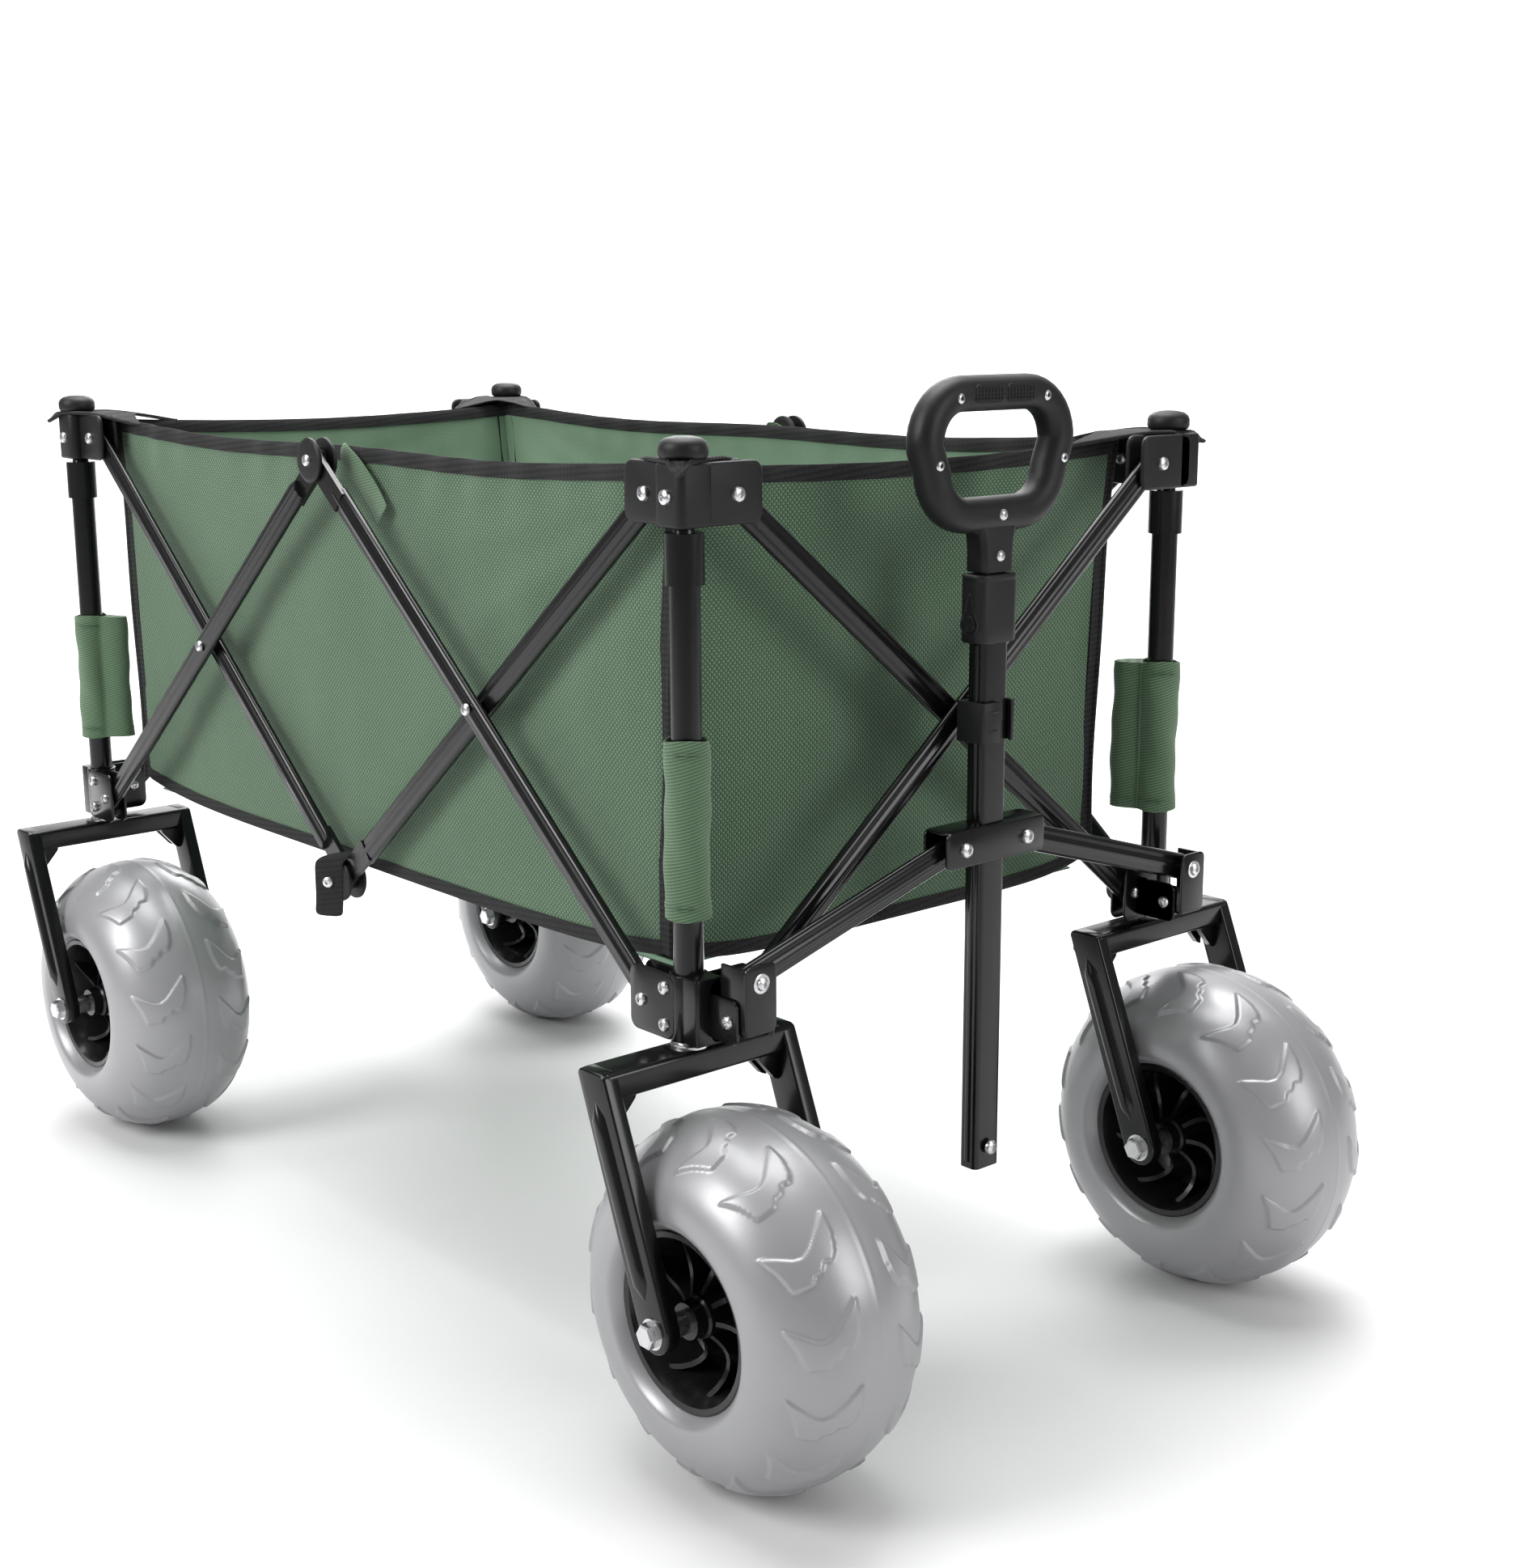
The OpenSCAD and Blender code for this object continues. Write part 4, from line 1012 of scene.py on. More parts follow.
def makeHandle():
    low, high = lowHigh("handle_bracket")
    depth = 0.014
    half = (high.y - low.y) / 2
    shape = Shape()
    plate = roundRect(2 * half, high.z - low.z, 0.006, 0, (low.z + high.z) / 2)
    shape.prism(plate, "YZ", handleX + depth - 0.003, handleX + depth)
    shape.prism(plate, "YZ", handleX - depth, handleX - depth + 0.003)
    shape.box((handleX - depth + 0.001, -half + 0.002, high.z - 0.003), (handleX + depth - 0.001, half - 0.002, high.z))
    shape.box((handleX - depth + 0.001, -0.020, low.z), (handleX + depth - 0.001, 0.020, high.z - 0.001))
    shape.piece("arm_bracket", palette["steel"], "handle", None, 0.0014, 2, 40, ("handle_bracket",))
    arm = jointAt["arm_right_high"]
    spots = []
    for s in (1, -1):
        spots += [(Vector((handleX + depth, s * abs(arm.y), arm.z)), (1, 0, 0)),
                  (Vector((handleX - depth, s * abs(arm.y), arm.z)), (-1, 0, 0))]
    low, high = lowHigh("handle_tube")
    spots.append((Vector((high.x, 0, low.z + 0.019)), (1, 0, 0)))
    placeHeads("bracket_screws", "pan", spots, "handle", size=1.15)
    tube = Shape()
    outer = roundRect(0.020, 0.030, 0.005, handleX, 0, 6)
    inner = roundRect(0.0164, 0.0264, 0.004, handleX, 0, 6)
    n = len(outer)
    pts = [(x, y, z) for z in (low.z, high.z) for x, y in outer] + [(x, y, z) for z in (low.z, high.z) for x, y in inner]
    faces = [(i, (i + 1) % n, n + (i + 1) % n, n + i) for i in range(n)]
    faces += [(2 * n + i, 3 * n + i, 3 * n + (i + 1) % n, 2 * n + (i + 1) % n) for i in range(n)]
    faces += [(i, 2 * n + i, 2 * n + (i + 1) % n, (i + 1) % n) for i in range(n)]
    faces += [(n + i, n + (i + 1) % n, 3 * n + (i + 1) % n, 3 * n + i) for i in range(n)]
    tube.add(pts, faces)
    bead = [(-0.0042, -0.0004), (-0.0034, 0.0004), (-0.0018, 0.0011), (0, 0.0013), (0.0018, 0.0011), (0.0034, 0.0004), (0.0042, -0.0004)]
    for s in (1, -1):
        tube.sweep([(handleX, s * 0.0149, low.z + 0.006), (handleX, s * 0.0149, high.z - 0.006)], bead, (0, s, 0))
    tube.piece("outer_tube", palette["steel"], "handle", None, 0, 2, 40, ("handle_tube",))
    low, high = lowHigh("handle_clip")
    clip = Shape()
    # open at the front: a long jaw on the right-hand side and a short one on the other
    ring = [(-0.0148, 0.0205), (0.0050, 0.0205), (0.0128, 0.0195), (0.0146, 0.0165), (0.0146, 0.0138), (0.0112, 0.0138), (0.0106, 0.0156),
            (-0.0104, 0.0156), (-0.0104, -0.0156), (0.0106, -0.0156), (0.0106, 0.0005), (0.0146, 0.0005), (0.0146, -0.0165),
            (0.0128, -0.0195), (0.0050, -0.0205), (-0.0148, -0.0205)]
    clip.prism([(handleX + x, y) for x, y in ring], "XY", low.z, high.z)
    clip.box((low.x + 0.001, -0.012, low.z + 0.004), (handleX - 0.012, 0.012, high.z - 0.004))
    for z in (low.z + 0.010, high.z - 0.008):
        clip.box((handleX + 0.0140, -0.0125, z - 0.0008), (handleX + 0.0152, -0.0015, z + 0.0008))
    clip.piece("tube_clip", palette["plastic"], "handle", None, 0.0010, 2, 40, ("handle_clip",))


makeHandle()


def makeCollar():
    low, high = lowHigh("handle_collar")
    wide, deep = high.y - low.y, high.x - low.x
    shape = Shape()
    hole = roundRect(0.0166, 0.0266, 0.004, handleX, 0, 6)
    tall = high.z - low.z
    stations = [(0, 0.95), (0.0014, 1.0), (0.012, 1.0), (tall - 0.006, 1.0), (tall - 0.0045, 0.985), (tall - 0.004, 1.0),
                (tall - 0.001, 1.0), (tall, 0.96)]
    n = len(hole)
    pts = []
    for h, share in stations:
        pts += [(x, y, low.z + h) for x, y in roundRect(deep * share, wide * share, 0.0095 * share, handleX, 0, 6)]
    pts += [(x, y, high.z) for x, y in hole] + [(x, y, low.z) for x, y in hole]
    rows = len(stations) + 2
    faces = [(i * n + k, i * n + (k + 1) % n, ((i + 1) % rows) * n + (k + 1) % n, ((i + 1) % rows) * n + k)
             for i in range(rows) for k in range(n)]
    shape.add(pts, faces)
    # the button sits in a drop-shaped frame on the right-hand face
    button = (lowHigh("lock_button")[0].z + lowHigh("lock_button")[1].z) / 2
    drop = []
    for k in range(56):
        a = 2 * pi * k / 56
        pull = max(0.0, sin(a))
        drop.append((handleX + 0.0090 * cos(a) * (1 - 0.35 * pull), -wide / 2 + 0.0004, button + 0.0090 * sin(a) + 0.015 * pull ** 4))
    shape.sweep(drop, [(0.0011 * cos(q), 0.0012 * sin(q)) for q in [2 * pi * k / 8 for k in range(8)]], (0, 1, 0), 0, True)
    shape.piece("lock_collar", palette["plastic"], "handle", None, 0, 2, 50, ("handle_collar",))
    low, high = lowHigh("lock_button")
    cap = Shape()
    rise = high.y - low.y
    groove = rise - 0.0005
    profile = [(0, 0), (0.0070, 0), (0.0070, rise - 0.0008), (0.0066, rise - 0.0002), (0.0058, rise), (0.0054, groove),
               (0.0048, groove), (0.0044, rise), (0.0036, rise), (0.0032, groove), (0.0026, groove), (0.0022, rise),
               (0.0014, rise), (0.001, rise - 0.0004), (0, rise - 0.0004)]
    cap.lathe(profile, (handleX, high.y, button), (0, -1, 0), 40)
    cap.piece("press_button", palette["plastic"], "button", None, 0, 2, 30, ("lock_button",))
    low, high = lowHigh("inner_tube")
    rod = Shape()
    rod.prism(roundRect(high.x - low.x - 0.0002, high.y - low.y - 0.0002, 0.0035, handleX, 0, 6), "XY", low.z, high.z)
    rod.piece("slide_tube", palette["steel"], "pull", None, 0, 2, 40, ("inner_tube",))


makeCollar()


def makeGrip():
    g = {"thick": 0.029, "neckWide": 0.036, "neckDeep": 0.024, "taper": 0.008}
    low, high = lowHigh("grip")
    top, foot, half = high.z, 0.724, (high.y - low.y) / 2
    t = g["thick"] / 2
    # the middle line of the loop, its corners rounded
    def corner(cx, cz, r, a0, a1, steps=9):
        turns = [radians(a0 + (a1 - a0) * k / steps) for k in range(steps + 1)]
        return [(cx + r * cos(a), cz + r * sin(a)) for a in turns]
    r = 0.0385
    topHalf, lowHalf = half - t, half - t - g["taper"]
    lean = degrees(atan2(g["taper"], top - foot - 2 * t))
    line = corner(topHalf - r, top - t - r, r, 90, -lean)
    line += corner(lowHalf - r, foot + t + r, r, -lean, -90)
    line += [(0.018, foot + t), (-0.018, foot + t)]
    line += corner(-lowHalf + r, foot + t + r, r, -90, -180 + lean)
    line += corner(-topHalf + r, top - t - r, r, 180 + lean, 90)
    line += [(-0.03, top - t), (0, top - t), (0.03, top - t)]
    path = [(handleX, y, z) for y, z in line]
    section = []
    for k in range(24):
        a = 2 * pi * k / 24
        section.append((t * abs(cos(a)) ** 0.88 * (1 if cos(a) > 0 else -1), t * abs(sin(a)) ** 0.88 * (1 if sin(a) > 0 else -1)))
    shape = Shape()
    shape.sweep(path, section, (1, 0, 0), 0, True)
    stations = [(low.z, 0.95), (low.z + 0.0015, 1.0), (0.708, 1.0), (0.718, 1.05), (0.726, 1.18), (0.734, 1.42), (0.740, 1.6)]
    n = len(roundRect(1, 1, 0.2, 0, 0, 6))
    pts = []
    for z, share in stations:
        deep = g["neckDeep"] if share < 1.1 else g["neckDeep"] * (1 - (share - 1.1) * 0.45)
        pts += [(x, y, z) for x, y in roundRect(deep, g["neckWide"] * share, 0.006, handleX, 0, 6)]
    rows = len(stations)
    faces = [(i * n + k, i * n + (k + 1) % n, (i + 1) * n + (k + 1) % n, (i + 1) * n + k) for i in range(rows - 1) for k in range(n)]
    faces += [list(range(n))[::-1], list(range((rows - 1) * n, rows * n))]
    shape.add(pts, faces)
    for s in (1, -1):
        web = [(s * 0.014, 0.722), (s * 0.026, foot + 0.001), (s * 0.040, foot + 0.008),
               (s * 0.040, foot + 0.020), (s * 0.014, foot + 0.022)]
        shape.prism(web, "YZ", handleX - 0.007, handleX + 0.007)
    for s in (1, -1):
        # a slightly raised pad for each row of dots
        pad = roundRect(0.034, 0.015, 0.006, s * 0.0185, top - t)
        shape.prism(pad, "YZ", handleX + t - 0.004, handleX + t - 0.0003)
    shape.piece("grip_loop", palette["plastic"], "pull", None, 0, 2, 50, ("grip",))
    spots = [(Vector((handleX + out, 0, z)), (1, 0, 0)) for out, z in ((0.0119, 0.705), (0.0142, 0.7385))]
    spots += [(Vector((handleX + t - 0.0016, s * (topHalf - 0.026), top - t - 0.003)), (1, 0, 0)) for s in (1, -1)]
    spots += [(Vector((handleX + t - 0.0016, s * (topHalf - 0.004), 0.781)), (1, 0, 0)) for s in (1, -1)]
    placeHeads("grip_screws", "small", spots, "pull", "bolt", 1.0)
    return top - t, t


gripMiddle, gripHalf = makeGrip()


def makeDotTree():
    # a small field of raised dots on a grid
    tree = bpy.data.node_groups.new("dotField", "GeometryNodeTree")
    ins = (("Geometry", "NodeSocketGeometry", None), ("Long", "NodeSocketFloat", 0.03), ("High", "NodeSocketFloat", 0.008),
           ("Count", "NodeSocketInt", 12), ("Rows", "NodeSocketInt", 4), ("Dot", "NodeSocketFloat", 0.0007),
           ("Finish", "NodeSocketMaterial", None))
    for label, kind, value in ins:
        socket = tree.interface.new_socket(label, in_out="INPUT", socket_type=kind)
        if value is not None:
            socket.default_value = value
    tree.interface.new_socket("Geometry", in_out="OUTPUT", socket_type="NodeSocketGeometry")
    gin, gout = tree.nodes.new("NodeGroupInput"), tree.nodes.new("NodeGroupOutput")
    grid = tree.nodes.new("GeometryNodeMeshGrid")
    ball = tree.nodes.new("GeometryNodeMeshUVSphere")
    ball.inputs["Segments"].default_value = 10
    ball.inputs["Rings"].default_value = 6
    seat = tree.nodes.new("GeometryNodeInstanceOnPoints")
    put = tree.nodes.new("GeometryNodeInstanceOnPoints")
    real = tree.nodes.new("GeometryNodeRealizeInstances")
    paint = tree.nodes.new("GeometryNodeSetMaterial")
    turn = tree.nodes.new("GeometryNodeTransform")
    turn.inputs["Rotation"].default_value = (pi / 2, 0, pi / 2)
    links = tree.links
    for key, socket in (("Long", "Size X"), ("High", "Size Y"), ("Count", "Vertices X"), ("Rows", "Vertices Y")):
        links.new(gin.outputs[key], grid.inputs[socket])
    links.new(gin.outputs["Dot"], ball.inputs["Radius"])
    links.new(grid.outputs["Mesh"], turn.inputs["Geometry"])
    links.new(gin.outputs["Geometry"], seat.inputs["Points"])
    links.new(turn.outputs["Geometry"], seat.inputs["Instance"])
    spread = tree.nodes.new("GeometryNodeRealizeInstances")
    links.new(seat.outputs["Instances"], spread.inputs["Geometry"])
    links.new(spread.outputs["Geometry"], put.inputs["Points"])
    links.new(ball.outputs["Mesh"], put.inputs["Instance"])
    links.new(put.outputs["Instances"], real.inputs["Geometry"])
    links.new(real.outputs["Geometry"], paint.inputs["Geometry"])
    links.new(gin.outputs["Finish"], paint.inputs["Material"])
    links.new(paint.outputs["Geometry"], gout.inputs["Geometry"])
    return tree


def makeDots():
    tree = makeDotTree()
    sockets = {s.name: s.identifier for s in tree.interface.items_tree if s.in_out == "INPUT"}
    mesh = bpy.data.meshes.new("grip_dots")
    mesh.from_pydata([(handleX + gripHalf - 0.0003, s * 0.0185, gripMiddle) for s in (1, -1)], [], [])
    obj = bpy.data.objects.new("grip_dots", mesh)
    bpy.context.collection.objects.link(obj)
    mod = obj.modifiers.new("dots", "NODES")
    mod.node_group = tree
    for key, value in (("Long", 0.030), ("High", 0.0085), ("Count", 9), ("Rows", 4), ("Dot", 0.0012), ("Finish", palette["plastic"])):
        mod[sockets[key]] = value
    bake(obj)
    finishPiece(obj, "pull", 60)


makeDots()
print("handle made")


# bag
bagX = lowHigh("bag_end_front")[1].x
bagY = lowHigh("bag_side_left")[1].y
bagForm = {"rimMid": 0.776, "rimCorner": 0.784, "lowCorner": 0.394, "lowMid": 0.379, "thick": 0.0016,
           "bind": 0.012, "bindThick": 0.0014, "drawIn": 0.020, "across": 180, "up": 76, "seed": 3.7}


def ridge(d, width):
    return np.exp(-(d / width) ** 2)


def wallOffset(u, v, seed, span):
    # slack of a hanging panel: a soft belly, long creases from the corners, and small puckers; u runs -1 to 1, v 0 to 1
    edge = np.clip((1 - np.abs(u)) * 9, 0, 1) * np.clip(v * 9 + 0.15, 0, 1)
    total = 0.0035 * np.cos(u * pi / 2) * np.sin(pi * v)
    places = np.stack([u * span * 6, v * 2.6, np.full_like(u, seed)], -1).reshape(-1, 3)
    soft = np.array([noise.noise(Vector(p)) for p in places]).reshape(u.shape)
    fine = np.array([noise.noise(Vector((p[0] * 3.1 + 9, p[1] * 1.2, p[2] + 5))) for p in places]).reshape(u.shape)
    total = total + 0.0050 * soft * edge + 0.0014 * fine * edge
    for s in (1, -1):
        for slope, off, depth in ((0.9, 0.05, 0.0022), (1.7, 0.11, -0.0018), (0.45, 0.02, 0.0016)):
            x = (1 - s * u) * span / 0.41
            y = 1 - v
            d = (y - slope * x * 0.5 - off) / sqrt(1 + slope * slope)
            fade = np.exp(-((x - 0.35) / 0.4) ** 2) * np.clip(x * 6, 0, 1)
            total = total + depth * ridge(d + 0.02 * soft, 0.035) * fade
    gather = np.clip((v - 0.86) / 0.14, 0, 1)
    total = total + 0.0014 * np.sin(u * span * 95 + 4 * soft + seed) * gather * np.clip((1 - np.abs(u)) * 12, 0, 1)
    return total


def makeWall(name, kind, sign, halfSpan, place, body, node, sags):
    # kind side runs along X at |y|, end runs along Y at |x|
    b = bagForm
    nu, nv = (b["across"], b["up"]) if kind == "side" else (b["across"] // 2 + 6, b["up"])
    us = np.linspace(-1, 1, nu + 1)
    vs = np.linspace(0, 1, nv + 1)
    u, v = np.meshgrid(us, vs, indexing="ij")
    if sags == 2:
        # the rim hangs in two shallow curves between the corners and the middle loop
        dip = np.sin(pi * np.abs(u)) ** 2 * 0.004
        rim = b["rimMid"] + 0.001 + (b["rimCorner"] - b["rimMid"]) * np.abs(u) ** 2.2 - dip
    else:
        rim = b["rimMid"] + (b["rimCorner"] - b["rimMid"]) * np.abs(u) ** 1.8
    base = b["lowMid"] + (b["lowCorner"] - b["lowMid"]) * np.abs(u) ** 6
    z = base + (rim - base) * v
    off = wallOffset(u, v, b["seed"] + 11 * sign + (5 if kind == "end" else 0), halfSpan)
    drawn = b["drawIn"] * (1 - v ** 3)
    run = u * (halfSpan - (drawn if kind == "side" else 0.003 * (1 - v)))
    # the last stretch before each corner turns in towards the next wall
    turn = np.clip((np.abs(u) - (1 - 0.012 / halfSpan)) * halfSpan / 0.012, 0, 1)
    across = place + off - 0.004 * turn ** 2 - (drawn if kind == "end" else 0)
    t = b["thick"]
    layers2 = []
    for lift in (0.0, -t):
        layers2.append(np.stack([run, sign * (across + lift), z], -1) if kind == "side" else np.stack([sign * (across + lift), run, z], -1))
    outer, inner = layers2
    rows, cols = u.shape
    pts = np.concatenate([outer.reshape(-1, 3), inner.reshape(-1, 3)])
    size = rows * cols
    faces, marks = [], []
    for i in range(rows - 1):
        for k in range(cols - 1):
            a = i * cols + k
            faces.append((a, a + 1, a + cols + 1, a + cols))
            marks.append(0)
            faces.append((size + a, size + a + cols, size + a + cols + 1, size + a + 1))
            marks.append(1)
    loop = [i * cols for i in range(rows)] + [(rows - 1) * cols + k for k in range(1, cols)]
    loop += [i * cols + cols - 1 for i in range(rows - 2, -1, -1)] + [k for k in range(cols - 2, 0, -1)]
    for a, c in zip(loop, loop[1:] + loop[:1]):
        faces.append((a, c, size + c, size + a))
        marks.append(0)
    shape = Shape()
    shape.add(pts, faces)
    shape.marks = marks
    wall = shape.piece(name, [palette["oxford"], palette["lining"]], body, None, 0, 2, 180, (node,))
    # binding tape folded over the rim and the foot
    for edgeName, edge, depth in (("rim", nv, b["bind"]), ("foot", 0, 0.011)):
        tape = Shape()
        way = 1 if edge else -1
        n = nu + 1
        rowsPts = []
        steps = [(way * -depth, 1), (way * -depth * 0.5, 1.15), (way * -0.002, 1.25), (way * 0.0012, 0.3),
                 (way * 0.0012, -0.3), (way * -0.002, -1.25), (way * -depth * 0.5, -1.15), (way * -depth, -1)]
        for i in range(n):
            zEdge = z[i, edge]
            height = z[i, nv] - z[i, 0]
            for rise, out in steps:
                vv = np.clip(edge / nv + rise / height, 0, 1)
                cut = np.interp(vv, vs, across[i])
                y = cut - t / 2 + out * (t / 2 + b["bindThick"] / 2)
                zz = zEdge + rise
                there = run[i, edge]
                rowsPts.append((there, sign * y, zz) if kind == "side" else (sign * y, there, zz))
        m = len(steps)
        tapeFaces = [(i * m + k, i * m + k + 1, (i + 1) * m + k + 1, (i + 1) * m + k) for i in range(n - 1) for k in range(m - 1)]
        tape.add(rowsPts, tapeFaces)
        obj = tape.piece(name + "_" + edgeName, palette["binding"], None, None, 0, 2, 60)
        thicken = obj.modifiers.new("thick", "SOLIDIFY")
        thicken.thickness = 0.0009
        thicken.offset = 0
        bake(obj)
        obj.data.shade_smooth()
        obj.data.set_sharp_from_angle(angle=radians(60))
        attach(obj, body)
        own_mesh(obj)
    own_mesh(wall)
    for i in range(rows - 1):
        for k in range(cols - 1):
            a, c, d = outer[i, k], outer[i + 1, k], outer[i, k + 1]
    return wall, z, across


wallPlans = {
    "wall_right": ("side", -1, bagX - 0.003, bagY, "top_front_right", (1, 0, 0), (0.486, 0, 0), 0.385, "bag_side_right"),
    "wall_left": ("side", 1, bagX - 0.003, bagY, "top_front_left", (1, 0, 0), (0.486, 0, 0), 0.385, "bag_side_left"),
    "wall_front": ("end", 1, bagY - 0.002, bagX, "top_front_right", (0, 1, 0), (0, -0.251, 0), 0.40, "bag_end_front"),
    "wall_rear": ("end", -1, bagY - 0.002, bagX, "top_rear_right", (0, 1, 0), (0, -0.251, 0), 0.40, "bag_end_rear"),
}
for name, (kind, sign, halfSpan, place, body, axis, anchor, keep, node) in wallPlans.items():
    makeWall(name, kind, sign, halfSpan, place, body, node, 2 if kind == "side" else 1)
print("walls made")


def easeStep(t):
    t = min(1.0, max(0.0, t))
    return t * t * (3 - 2 * t)


# corner sizes of the webbing tab are measured from the post's middle, out positive
trimForm = {"pipe": 0.0036, "pipeIn": 0.0015, "pipeSteps": 40, "flange": 0.013, "flangeHalf": 0.0011,
            "outerCorner": 0.0225, "sideEnd": (-0.100, -0.0262), "inner": -0.042, "frontEnd": (-0.0347, -0.100),
            "cells": 36, "top": 0.7924, "thick": 0.0016, "block": 0.017, "ear": 0.008, "drape": 1.7, "drapeMost": 0.011,
            "fall": 0.0112}
sleeveForm = {"frontZ": (0.442, 0.582), "rearZ": (0.434, 0.570), "outer": 0.0178, "inner": 0.0160, "rows": 28, "around": 48,
              "hem": (0.009, 0.0115), "stitch": 0.0005, "seamOut": 0.0196}


def makePiping(e):
    # cord and flanges down the bag's corner
    c = corners[e]
    b = bagForm
    sx, sy = c["x"], c["y"]
    f = trimForm
    pipe = Shape()
    path, count = [], f["pipeSteps"]
    for k in range(count + 1):
        t = k / count
        z = b["lowCorner"] - 0.002 + (b["rimCorner"] - b["lowCorner"] + 0.002) * t
        wob = 0.0012 * sin(9 * t + sx * 2 + sy)
        drawn = b["drawIn"] * (1 - t ** 3)
        path.append((sx * (bagX - f["pipeIn"] + wob - drawn), sy * (bagY - f["pipeIn"] + wob * 0.6), z))
    pipe.sweep(path, ovalSection(f["pipe"], f["pipe"], 12), (1, 0, 0))
    wide, half = f["flange"], f["flangeHalf"]
    flange = [(0.0, -half), (wide, -half), (wide, half), (0.0, half)]
    for axisWay in ("x", "y"):
        strip = []
        for p in path:
            for u, v in flange:
                inward, outward = u, v + 0.0006
                if axisWay == "x":
                    strip.append((p[0] - sx * inward, p[1] + sy * outward, p[2]))
                else:
                    strip.append((p[0] + sx * outward, p[1] - sy * inward, p[2]))
        n = 4
        faces = [(i * n + k, i * n + (k + 1) % n, (i + 1) * n + (k + 1) % n, (i + 1) * n + k)
                 for i in range(count) for k in range(n)]
        faces += [(3, 2, 1, 0), tuple(count * n + k for k in range(4))]
        pipe.add(strip, faces)
    pipe.piece("corner_piping_" + e, palette["binding"], "top_" + c["body"], None, 0, 2, 50)


def makeCornerTab(e):
    # webbing clamped under the knob, drooping over the bracket's outer corner and running out along both rims
    c = corners[e]
    body = "top_" + c["body"]
    sx, sy = c["x"], c["y"]
    f = trimForm
    front = (layers["endInner"] if sy < 0 else layers["endOuter"]) + layers["half"] + topForm["wall"]
    outer = max(f["block"], front)
    quad = [Vector((f["outerCorner"], f["outerCorner"], 0)), Vector((*f["sideEnd"], 0)),
            Vector((f["inner"], f["inner"], 0)), Vector((*f["frontEnd"], 0))]
    tab = Shape()
    n = f["cells"]
    grid = []
    for i in range(n + 1):
        for k in range(n + 1):
            p, q = i / n, k / n
            spot = quad[0] * (1 - p) * (1 - q) + quad[1] * p * (1 - q) + quad[2] * p * q + quad[3] * (1 - p) * q
            spot.y += 0.005 * sin(pi * p) * (1 - q) ** 2
            spot.x += (outer - 0.012) * sin(pi * q) * (1 - p) ** 2
            besideX = f["ear"] + (f["block"] - f["ear"]) * easeStep((spot.x + 0.048) / 0.034)
            besideY = front + (f["block"] - front) * easeStep((spot.y + 0.032) / 0.018)
            over = max(0.0, spot.y - besideX, spot.x - besideY)  # how far it hangs past the bracket
            away = min(1.0, max(0.0, -min(spot.x, spot.y) - 0.034) / 0.064)
            ripple = 0.0010 * sin(9 * p + 7 * q + sx + 2 * sy) * away * (1 - away)
            lift = -min(f["drapeMost"], f["drape"] * over) - f["fall"] * away ** 1.3 + ripple
            grid.append(Vector((sx * (postX + spot.x), sy * (postY + spot.y), f["top"] + lift)))
    m = n + 1
    tab.add(grid, gridFaces(m, m))
    strap = tab.piece("corner_tab_" + e, palette["binding"], None, None, 0, 2, 60)
    finishStrip(strap, f["thick"], body, False)
    cord = Shape()
    edge = [grid[k] for k in range(n, 0, -1)] + [grid[i * m] for i in range(n + 1)]
    cord.sweep(edge, ovalSection(0.0026, 0.0020, 10), (0, 0, 1))
    cord.piece("corner_edge_" + e, palette["binding"], body, None, 0, 2, 60)


